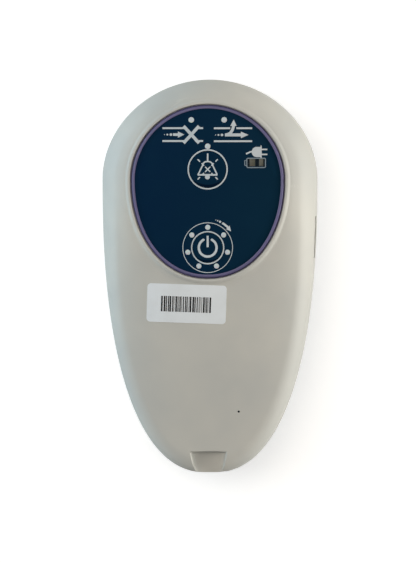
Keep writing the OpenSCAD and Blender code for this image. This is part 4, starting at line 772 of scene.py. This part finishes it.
def makeBezel():
    profile = [(0.15, panel["seatZ"]), (0.0, 35.95), (0.0, 36.6), (0.38, 36.9), (0.42, 37.35)]
    profile += [(0.42 + 0.6 * (1 - math.cos(a)), 37.35 + 0.6 * math.sin(a)) for a in quarter(6, 1)]
    profile += [(1.2, 37.97), (1.45, 37.96), (1.56, 37.9), (1.6, 37.8), (1.6, 37.3)]
    rings = [lift(inset(panelLoop, within), z) for within, z in profile]
    for x, y, radius, depth in bezelChips:
        for p in (p for ring in rings[2:13] for p in ring):
            near = 1 - math.hypot(p.x - x, p.y - y) / radius
            if near > 0:
                rough = 0.8 + 0.5 * noise.noise(p * 3.0)
                p.z -= depth * rough * near * (1.0 if p.z > 37 else 0.0)
                p.x -= math.copysign(depth * 0.6 * near, p.x)
    bezel = carve(loftObject("PanelBezel", rings, "bezelPc"), panelTools())
    place(smoothByAngle(bezel), "housing", "panel_bezel")


def makeFilm():
    rings = [lift(inset(panelLoop, within), z)
             for within, z in ((1.65, 37.3), (1.65, 37.62), (1.68, 37.68), (1.74, 37.7))]
    film = carve(loftObject("PanelFilm", rings, "navyFilm"), panelTools())
    place(smoothByAngle(film), "housing", "panel_overlay")


class Prints:
    # flat printed shapes as closed prisms, in sheets; shapes that cross lie in different sheets, and
    # make() joins the sheets and may trim them to a cover, such as a dished surface
    def __init__(self, low, high):
        self.low, self.high, self.sheets = low, high, [([], [])]

    def newSheet(self):
        self.sheets.append(([], []))

    def add(self, points, faces):
        allPoints, allFaces = self.sheets[-1]
        start = len(allPoints)
        allPoints += points
        allFaces += [tuple(start + i for i in face) for face in faces]

    def shape(self, loop):
        area = sum(a.x * b.y - b.x * a.y for a, b in zip(loop, loop[1:] + loop[:1]))
        loop = loop if area > 0 else loop[::-1]
        self.add(*loft([lift(loop, self.low), lift(loop, self.high)]))

    def frame(self, inner, outer):
        # closed band between two outlines of equal count
        rows = ((inner, self.low), (outer, self.low), (outer, self.high), (inner, self.high))
        self.add(*loft([lift(loop, z) for loop, z in rows], ends=False))

    def disc(self, x, y, radius):
        self.shape(circle(x, y, radius, 32))

    def ring(self, x, y, inner, outer, start=0.0, end=360.0):
        count = max(8, int(abs(end - start) / 3))
        if end - start >= 360:
            self.frame(circle(x, y, inner, count), circle(x, y, outer, count))
            return
        turns = [math.radians(start + (end - start) * k / count) for k in range(count + 1)]
        far = [onCircle(x, y, outer, a) for a in turns]
        near = [onCircle(x, y, inner, a) for a in turns]
        self.shape(far + near[::-1])

    def line(self, x1, y1, x2, y2, width):
        side = Vector((y1 - y2, x2 - x1, 0)).normalized() * width / 2
        a, b = Vector((x1, y1, 0)), Vector((x2, y2, 0))
        self.shape([a + side, a - side, b - side, b + side])

    def path(self, points, width):
        # a stroke of even width along a row of points
        spots = [Vector((x, y, 0)) for x, y in points]
        left, right = [], []
        for i, p in enumerate(spots):
            way = (spots[min(i + 1, len(spots) - 1)] - spots[max(i - 1, 0)]).normalized()
            side = Vector((-way.y, way.x, 0)) * width / 2
            left.append(p + side)
            right.append(p - side)
        self.shape(right + left[::-1])

    def polygon(self, points):
        self.shape([Vector((x, y, 0)) for x, y in points])

    def make(self, name, finish, body, cover=None):
        shaped = meshObject(name, *self.sheets[0], finish)
        if len(self.sheets) > 1:
            carve(shaped, [meshObject("tool", *sheet, None) for sheet in self.sheets[1:]], "UNION")
        if cover:
            carve(shaped, [cover], "INTERSECT")
        return place(smoothByAngle(shaped), body)


# strokes along X: start, end, height, width
tubeWalls = [(-18.7, -9.6, 60.8, 0.74), (-3.7, -1.9, 60.8, 0.74), (-18.7, -9.6, 55.5, 0.74),
             (-3.7, -1.9, 55.5, 0.74), (2.55, 9.3, 60.75, 0.74), (11.8, 18.35, 60.75, 0.74),
             (2.55, 18.35, 55.4, 0.74)]
arrowShafts = [(-14.35, -12.2, 58.15, 1.07), (7.1, 13.8, 58.0, 1.24)]
plugProngs = [(22.1, 24.6, 52.0, 0.6), (22.1, 24.6, 49.95, 0.6)]
# the arrow round the power button that says hold: dots that grow, a band, and a head
holdArrow = {
    "dots": ((73.7, 0.18), (69.6, 0.3), (64.5, 0.48)), "dotCircle": 11.85, "band": (11.4, 12.25, 44.4, 59.2),
    "head": ((10.8, 45.2), (12.85, 45.2), (11.75, 34.6))}


def flowDots(ink, x, y):
    # three dots that grow in the direction of flow
    for dx, radius in ((0.0, 0.2), (1.15, 0.38), (2.6, 0.55)):
        ink.disc(x + dx, y, radius)


def makeFilmSymbols():
    # blocked tube with two walls that cross, and leaking tube, whose upper wall an arrow leaves by
    ink = Prints(*filmPrint)
    for x1, x2, y, width in tubeWalls + arrowShafts + plugProngs:
        ink.line(x1, y, x2, y, width)
    flowDots(ink, -17.8, 58.15)
    flowDots(ink, 3.3, 58.0)
    # mains plug
    plugTurns = [math.radians(90 + 18 * k) for k in range(11)]
    plugBack = [(20.2 + 2.037 * math.cos(a), 50.95 + 2.1 * math.sin(a)) for a in plugTurns]
    ink.polygon([(21.95, 48.85), (21.95, 53.05)] + plugBack)
    # ring round the alarm button, two round the power button, and the arrow outside them
    ink.ring(0, alarmY, 7.74, 8.3)
    ink.ring(0, powerY, 6.34, 6.86)
    ink.ring(0, powerY, 10.12, 10.4)
    for turn, radius in holdArrow["dots"]:
        ink.disc(*onCircle(0, powerY, holdArrow["dotCircle"], math.radians(turn)).xy, radius)
    ink.ring(0, powerY, *holdArrow["band"])
    # what touches or crosses the shapes above: one arm of the cross, arrow heads, the branch, the cord
    ink.newSheet()
    ink.line(-9.95, 61.65, -3.6, 54.65, 1.3)
    ink.polygon([(-12.3, 59.45), (-12.3, 56.85), (-9.65, 58.15)])
    ink.polygon([(13.7, 59.35), (13.7, 56.65), (16.85, 58.0)])
    ink.path([(7.6, 58.05), (8.6, 58.3), (9.5, 58.95), (10.15, 59.9), (10.5, 60.9), (10.65, 61.8)], 1.2)
    ink.line(22.05, 48.5, 22.05, 53.6, 0.5)
    ink.path([(18.6, 51.1), (17.6, 51.0), (16.8, 50.6), (15.8, 50.2)], 0.62)
    ink.shape([onCircle(0, powerY, radius, math.radians(turn)) for radius, turn in holdArrow["head"]])
    ink.newSheet()
    ink.line(-9.95, 54.65, -3.6, 61.65, 1.3)
    ink.polygon([(9.3, 61.7), (11.95, 61.7), (10.75, 64.35)])
    ink.make("FilmSymbols", "paleInk", "housing")


def makeBatterySign():
    # outline of the battery and its knob, in a fainter line
    cell = Prints(filmPrint[0], 37.735)
    cell.frame(*(roundedBox(20.0, 46.45, 8.1, 4.25, 0.7, grow) for grow in (-0.42, 0.0)))
    cell.newSheet()
    cell.path([(16.05, 47.6), (15.3, 47.4), (15.3, 45.5), (16.05, 45.3)], 0.4)
    cell.make("BatteryOutline", "faintInk", "housing")
    # dark window of the battery lights, with the two light bars left open
    mask = Prints(37.69, 37.72)
    for x, width, corner in ((16.85, 0.9, 0.2), (20.4, 1.3, 0.1), (23.35, 0.8, 0.2)):
        mask.shape(roundedBox(x, 46.45, width, 3.2, corner))
    mask.make("BatteryWindow", "blackInk", "housing")


def dishZ(r, dish):
    # height of a key's dished top r mm from its middle
    return key["topZ"] - max(0.0, dish - r * r / key["dishRun"])


def makeButton(name):
    # keycap with a dished top and a rolled edge, its stem, and the lugs that hold it under the bezel
    y, radius, dish = (keys[name][part] for part in ("y", "radius", "dish"))
    stem, stemZ, underZ, edge = (key[part] for part in ("stemRadius", "stemZ", "underZ", "edge"))
    edgeLowZ = key["topZ"] - edge
    profile = [(0.05, stemZ), (stem - 0.2, stemZ), (stem, stemZ + 0.15), (stem, underZ)]
    profile += [(radius - 0.15, underZ), (radius, underZ + 0.15), (radius, edgeLowZ)]
    profile += [(radius - edge * (1 - math.cos(a)), edgeLowZ + edge * math.sin(a)) for a in quarter(6, 1)]
    profile += [(r, dishZ(r, dish)) for r in ((radius - edge) * (1 - k / 25) for k in range(1, 25))]
    rings = [lift(circle(0, y, r, 128), z) for r, z in profile]
    cap = loftObject(name.capitalize() + "Key", rings, "navyKey")
    reach = radius + key["gap"] + key["lugReach"]
    lug = roundedBox(reach / 2, 0, reach, key["lugWidth"], 0.5)
    lugs = [tool([turned(lift(lug, z), spinAt(0, y, turn)) for z in (underZ, key["lugTopZ"])])
            for turn in keys[name]["lugTurns"]]
    carve(cap, lugs, "UNION")
    place(smoothByAngle(cap), name + "_button", name + "_button")


def keyCover(name, rise):
    # thin layer that follows a key's top, for trimming its print and its painted shade to the dish
    y, radius, dish = (keys[name][part] for part in ("y", "radius", "dish"))
    radii = [0.05] + [(radius - 0.3) * k / 24 for k in range(1, 25)]
    under = [lift(circle(0, y, r, 96), dishZ(r, dish) - 0.05) for r in radii]
    over = [lift(circle(0, y, r, 96), dishZ(r, dish) + rise) for r in radii[::-1]]
    return tool(under + over)


def makeKeyPrintOrShade(ink, name, sign, finish, rise):
    ink.make(name.capitalize() + sign, finish, name + "_button", keyCover(name, rise))


def makeBell():
    # struck-out bell on the alarm key, in units of its own
    unit, y = 0.4124, alarmY
    bell = Prints(*keyPrintOrShade)
    dome = [(-9.8, -5.6), (-4.9, 4.3), (-4.3, 6.2), (-2.6, 7.5), (0, 7.9), (2.6, 7.5), (4.3, 6.2), (4.9, 4.3),
            (9.5, -5.4)]
    bell.path([(x * unit, y + d * unit) for x, d in dome], 0.58)
    bell.newSheet()
    bell.line(0, y + 15.9 * unit, 0, y + 8.0 * unit, 0.62)
    bell.line(-10.0 * unit, y - 5.5 * unit, 9.7 * unit, y - 5.5 * unit, 0.66)
    bell.newSheet()
    bell.disc(-0.1, y - 7.6 * unit, 1.02)
    # the two dashed diagonals
    for side in (1, -1):
        bell.newSheet()
        for start, end in ((-14.3, -11.0), (-8.6, -5.2), (-3.6, 3.6), (5.2, 8.6), (11.0, 14.3)):
            a, b = start * unit * 0.7071, end * unit * 0.7071
            bell.line(side * a, y + a, side * b, y + b, 0.5)
    makeKeyPrintOrShade(bell, "alarm", "Symbol", "paleInk", 0.03)


def makePowerSign():
    # broken ring with round ends, and the bar through its gap
    sign = Prints(*keyPrintOrShade)
    sign.ring(0, powerY, 3.18, 4.16, 118, 422)
    sign.line(0, powerY + 4.9, 0, powerY + 0.2, 0.86)
    sign.newSheet()
    for turn in (118, 62):
        sign.disc(*onCircle(0, powerY, 3.67, math.radians(turn)).xy, 0.49)
    makeKeyPrintOrShade(sign, "power", "Symbol", "paleInk", 0.03)


def makeShade(name):
    # painted shade: a dark crescent along the low edge of a dished key, where it would be in shade
    outer, thick, spread = keys[name]["shade"]
    y = keys[name]["y"]
    rim, inner = [], []
    for share in (k / 20 - 1 for k in range(41)):
        angle = math.radians(spread * share - 90)
        rim.append(onCircle(0, y, outer, angle))
        inner.append(onCircle(0, y, outer - thick * max(0.015, 1 - share ** 2), angle))
    shade = Prints(*keyPrintOrShade)
    shade.shape(rim + inner[::-1])
    # painted shade, laid on the key's top as a thin dark sheet
    makeKeyPrintOrShade(shade, name, "Shade", "midnightInk", 0.015)


makeBezel()
makeFilm()
makeFilmSymbols()
makeBatterySign()
for keyName in keys:
    makeButton(keyName)
makeBell()
makePowerSign()
for keyName in keys:
    makeShade(keyName)
print("control panel made")


# Port door, labels and the speck

def makePortDoor():
    x, y, half = door["x"], door["y"], door["width"] / 2
    steps = [(x - door["thick"], -0.35), (x - door["thick"] + 0.12, -0.12), (x - 1.2, 0.0), (x - 0.4, 0.0),
             (x - 0.12, -0.12), (x, -0.4)]
    leafRings = [facingX(roundedBox(0, 0, door["width"], door["height"], 0.7, grow), across, y,
                         door["hingeZ"] + door["height"] / 2) for across, grow in steps]
    leaf = loftObject("PortDoor", leafRings, "housingAbs")
    barrel = [(-half, 0.85), (-half + 0.2, 1.05), (half - 0.2, 1.05), (half, 0.85)]
    pins = [(-9.9, 0.65), (-9.7, 0.8), (9.7, 0.8), (9.9, 0.65)]
    hinge = [bar(door["hingeX"], y, door["hingeZ"], barrel, 40), bar(door["hingeX"], y, door["hingeZ"], pins)]
    carve(leaf, hinge, "UNION")
    # shallow grip groove along the free edge
    carve(leaf, [bar(x + 0.75, y, 23.2, [(-5.0, 0.75), (-4.6, 0.98), (4.6, 0.98), (5.0, 0.75)])])
    place(smoothByAngle(leaf), "port_door", "port_door")


label = {
    "x": -8.8, "y": -11.6, "width": 32.8, "length": 15.9, "corner": 1.5, "turn": -2.0, "thick": 0.12,
    "barsX": (-10.55, 10.4), "barsY": (-3.5, 2.9)}


def surfaceZ(shell, x, y):
    # height of the shell at a place, found by a ray from 60 mm above the table
    return shell.ray_cast(Vector((x * mm, y * mm, 0.06)), Vector((0, 0, -1)))[1].z / mm


def onShell(shell, loop, rise):
    return [Vector((p.x, p.y, surfaceZ(shell, p.x, p.y) + rise)) for p in loop]


def makeLabel(shell):
    spin = spinAt(label["x"], label["y"], label["turn"])
    edge = roundedBox(0, 0, label["width"], label["length"], label["corner"], 0.0, 6)
    fine = []
    for a, b in zip(edge, edge[1:] + edge[:1]):
        steps = max(1, int((b - a).length / 1.0))
        fine += [a.lerp(b, k / steps) for k in range(steps)]
    rows = [turned([p * share for p in fine], spin)
            for share in (1.0, 0.985, 0.94, 0.86, 0.74, 0.58, 0.4, 0.2, 0.02)]
    top = [onShell(shell, row, label["thick"]) for row in rows]
    # one corner has lifted a little
    for p in (p for row in top[:3] for p in row):
        away = math.hypot(p.x - (label["x"] + label["width"] / 2), p.y - (label["y"] + label["length"] / 2))
        p.z += 0.03 * max(0.0, 1 - away / 4.0)
    paper = loftObject("AssetLabel", [onShell(shell, rows[0], 0.02)] + top, "labelPaper")
    place(smoothByAngle(paper, 60), "housing", "asset_label")
    # generic bars in place of the printed code; the lines of text stay bare
    bars = Prints(0, 0)
    x, lastX = label["barsX"]
    low, high = label["barsY"]
    while x < lastX:
        w = random.choice((0.22, 0.44, 0.44, 0.66))
        corners = ((x, low, 0), (x + w, low, 0), (x + w, high, 0), (x, high, 0))
        spots = turned([Vector(p) for p in corners], spin)
        bars.add(*loft([onShell(shell, spots, label["thick"] + rise) for rise in (0.002, 0.025)]))
        x += w + random.choice((0.22, 0.22, 0.44, 0.44))
    bars.make("LabelBars", "labelPrint", "housing")


def makeRatingPlate():
    width, length = plate["width"] - plate["gap"], plate["length"] - plate["gap"]

    def plateLoop(grow):
        return roundedBox(0, plate["y"], width, length, 1.2, grow)

    rings = [lift(plateLoop(grow), z)
             for grow, z in ((-0.4, 0.1), (-0.1, 0.1), (0.0, 0.14), (0.0, plate["sink"]))]
    place(smoothByAngle(loftObject("RatingPlate", rings, "plateFoil")), "housing", "rating_plate")
    border = Prints(0.085, 0.11)
    border.frame(plateLoop(-1.6), plateLoop(-1.3))
    border.make("PlateBorder", "labelPrint", "housing")


def makeSpeck(shell):
    # a dark speck moulded into the front shell
    rings = [[p + Vector((0, 0, rise)) for p in onShell(shell, circle(12.55, -56.2, radius, 20), 0.0)]
             for radius, rise in ((0.45, -0.02), (0.45, 0.02), (0.3, 0.05))]
    place(smoothByAngle(loftObject("HousingSpeck", rings, "blackInk")), "housing")


bpy.context.view_layer.update()
makePortDoor()
makeLabel(frontShell)
makeRatingPlate()
print("door and labels made")


# Inside: the valve's spring, and finishes of the CAD nodes that stay as they are

# return spring of the bleed valve; liftedMm is how far the plunger rises towards the fixed upper end
bleedSpring = {
    "x": -25.6, "y": 16.0, "low": 15.75, "high": 19.15, "radius": 1.35, "wire": 0.16, "turns": 4,
    "seat": 15.5, "fixedEnd": 19.5, "liftedMm": 0.8}


def makeBleedSpring(stepsPerTurn=24, sides=8):
    middle = Vector((bleedSpring["x"], bleedSpring["y"], 0))
    count = bleedSpring["turns"] * stepsPerTurn
    rings = []
    for k in range(count + 1):
        outward = onCircle(0, 0, 1, math.tau * k / stepsPerTurn)
        z = bleedSpring["low"] + (bleedSpring["high"] - bleedSpring["low"]) * k / count
        wireMiddle = middle + outward * bleedSpring["radius"] + Vector((0, 0, z))
        rings.append([])
        for side in (math.tau * s / sides for s in range(sides)):
            towards = outward * math.cos(side) + Vector((0, 0, math.sin(side)))
            rings[-1].append(wireMiddle + bleedSpring["wire"] * towards)
    spring = smoothByAngle(loftObject("BleedSpring", rings, "groundSteel"), 60)
    place(spring, "housing", "valve_spring")
    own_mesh(spring)


# each finish, its nodes, and the width of their edges in mm
nodeFinish = {
    "gasketEpdm": {"housing_gasket": 0.15, "pump_cradles": 0.25},
    "zincSteel": {"housing_screws": 0.12, "small_screws": 0.08, "pump_head_screws": 0.08, "pump_strap": 0.1},
    "lightPipe": {"day_lights": 0.08, "status_lights": 0.08},
    "whiteNylon": {"light_block": 0.2, "board_connectors": 0.12, "vacuum_port": 0.15, "sense_port": 0.12,
                   "tube_tee": 0.12},
    "resistBoard": {"main_board": 0.12, "protection_board": 0.1},
    "blackPbt": {"board_components": 0.1, "button_switches": 0.12, "pressure_sensor": 0.12,
                 "battery_holder": 0.3, "motor_cap": 0.2, "bleed_valve": 0.15, "buzzer": 0.2,
                 "charge_socket": 0.12},
    "ivoryAcetal": {"alarm_plunger": 0.1, "power_plunger": 0.1, "connecting_rod": 0.12},
    "cellSleeve": {"battery_cells": 0.3},
    "rolledNickel": {"battery_tabs": 0.05},
    "greyNylon": {"pump_block": 0.3, "pump_cover": 0.25, "valve_plate": 0.12, "pump_head": 0.25,
                  "muffler": 0.2},
    "redSilicone": {"diaphragm": 0.1, "pump_flaps": 0.05, "port_seals": 0.1},
    "turnedBrass": {"crank": 0.08},
    "groundSteel": {"crank_bearing": 0.08, "motor_shaft": 0.06, "valve_plunger": 0.08},
    "drawnSteel": {"motor_can": 0.3},
    "ferrite": {"motor_magnets": 0.1},
    "woundCopper": {"motor_armature": 0.15, "valve_coil": 0.12},
    "tubeSilicone": {"intake_tube": 0.08, "pump_tube": 0.08, "exhaust_tube": 0.08, "sense_tube": 0.08},
    "goldFlash": {"charge_contacts": 0.04},
    "leadPvc": {"wiring": 0.05}}


def makeSmoothGroup():
    # shades faces smooth, but leaves edges sharp that turn by more than 35 degrees
    group = bpy.data.node_groups.new("SmoothByAngle", "GeometryNodeTree")
    for side in ("INPUT", "OUTPUT"):
        group.interface.new_socket("Geometry", in_out=side, socket_type="NodeSocketGeometry")
    start = addNode(group, "NodeGroupInput").outputs[0]
    turn = addNode(group, "GeometryNodeInputMeshEdgeAngle").outputs["Unsigned Angle"]
    soft = addNode(group, "FunctionNodeCompare", {
        "operation": "LESS_THAN", "data_type": "FLOAT", 0: turn, 1: math.radians(35)}).outputs["Result"]
    faces = addNode(group, "GeometryNodeSetShadeSmooth", {"domain": "FACE", "Geometry": start})
    edges = addNode(group, "GeometryNodeSetShadeSmooth", {
        "domain": "EDGE", "Geometry": faces.outputs["Geometry"], "Shade Smooth": soft})
    addNode(group, "NodeGroupOutput", {0: edges.outputs["Geometry"]})
    return group


def dressNode(name, finish, bevelMm, smoothGroup):
    shaped = cadNodes[name]
    shaped.data.materials.clear()
    shaped.data.materials.append(finishes[finish])
    weld = shaped.modifiers.new("Weld", "WELD")
    weld.merge_threshold = 0.002 * mm
    bevel = shaped.modifiers.new("Edges", "BEVEL")
    bevel.width = bevelMm * mm
    bevel.segments = 2
    bevel.limit_method = "ANGLE"
    bevel.angle_limit = math.radians(40)
    bevel.use_clamp_overlap = True
    shaped.modifiers.new("Shading", "NODES").node_group = smoothGroup


makeBleedSpring()
makeSpeck(frontShell)
edgeShading = makeSmoothGroup()
for finishName, bevels in nodeFinish.items():
    for nodeName, width in bevels.items():
        dressNode(nodeName, finishName, width, edgeShading)
print("inside parts finished:", sum(len(bevels) for bevels in nodeFinish.values()))


# Studio: floor, world, lamps and camera

studio = {"floor": "#e9e9e9", "floorGlow": 0.5, "floorSize": 6.0, "world": 0.15, "lampFar": 1.3}
view = {"targetX": -0.705, "targetY": -2.45, "targetZ": 20.0, "far": 3.0, "tilt": 2.7, "height": 233.57,
        "sensor": 24.0}


def addObject(name, data):
    holder = bpy.data.objects.new(name, data)
    bpy.context.scene.collection.objects.link(holder)
    return holder


def makeFloor():
    half = studio["floorSize"] / 2
    mesh = bpy.data.meshes.new("StudioFloor")
    corners = [(-half, -half, 0), (half, -half, 0), (half, half, 0), (-half, half, 0)]
    mesh.from_pydata(corners, [], [(0, 1, 2, 3)])
    floor = addObject("StudioFloor", mesh)
    # white paper sweep; the camera alone sees its glow
    material, tree = startMaterial("paperSweep")[:2]
    seen = addNode(tree, "ShaderNodeLightPath").outputs["Is Camera Ray"]
    endMaterial(material, {
        "Base Color": studio["floor"], "Roughness": 0.9, "Specular IOR Level": 0.0,
        "Emission Color": "#ffffff",
        "Emission Strength": mathOf(tree, "MULTIPLY", seen, studio["floorGlow"])})
    mesh.materials.append(material)


def makeWorld():
    # white for the camera and in reflections, dim as a light on the object
    world = bpy.data.worlds.new("Studio")
    bpy.context.scene.world = world
    world.use_nodes = True
    tree = world.node_tree
    tree.nodes.clear()
    rays = addNode(tree, "ShaderNodeLightPath").outputs
    through = mathOf(tree, "MAXIMUM", rays["Is Camera Ray"], rays["Is Transmission Ray"])
    plain, white = (addNode(tree, "ShaderNodeBackground", {"Color": "#ffffff", "Strength": strength})
                    for strength in (studio["world"], 1.0))
    mixed = addNode(tree, "ShaderNodeMixShader", {
        0: mathOf(tree, "MAXIMUM", through, rays["Is Glossy Ray"]), 1: plain.outputs["Background"],
        2: white.outputs["Background"]})
    addNode(tree, "ShaderNodeOutputWorld", {"Surface": mixed.outputs["Shader"]})


def addLamp(name, colour, watts, size, way):
    # soft rectangular lamp of size (across, high), turned to the object from the direction way
    lamp = bpy.data.lights.new(name, "AREA")
    lamp.shape = "RECTANGLE"
    lamp.energy = watts
    lamp.size, lamp.size_y = size
    lamp.color = linear(colour)[:3]
    holder = addObject(name, lamp)
    way = Vector(way).normalized()
    holder.location = way * studio["lampFar"]
    holder.rotation_euler = way.to_track_quat("Z", "Y").to_euler()


def makeCamera():
    camera = bpy.data.cameras.new("Camera")
    camera.sensor_fit = "VERTICAL"
    camera.sensor_height = view["sensor"]
    camera.lens = view["sensor"] * view["far"] / (view["height"] * mm)
    camera.clip_end = 20.0
    holder = addObject("Camera", camera)
    tilt = math.radians(view["tilt"])
    target = Vector((view["targetX"], view["targetY"], view["targetZ"])) * mm
    holder.location = target + Vector((math.sin(tilt), 0, math.cos(tilt))) * view["far"]
    holder.rotation_euler = (0, tilt, 0)
    bpy.context.scene.camera = holder


makeFloor()
makeWorld()
addLamp("WarmKey", "#fffdf8", 18.5, (1.2, 0.34), (0.99, 0.04, 0.145))
addLamp("CoolFill", "#b6e4ff", 10.5, (1.0, 0.34), (-0.957, 0.256, 0.14))
addLamp("TopSoft", "#fff6ec", 10.2, (1.2, 1.2), (-0.366, 0.211, 0.906))
bpy.context.scene.view_settings.view_transform = "Standard"
makeCamera()
print("studio ready")
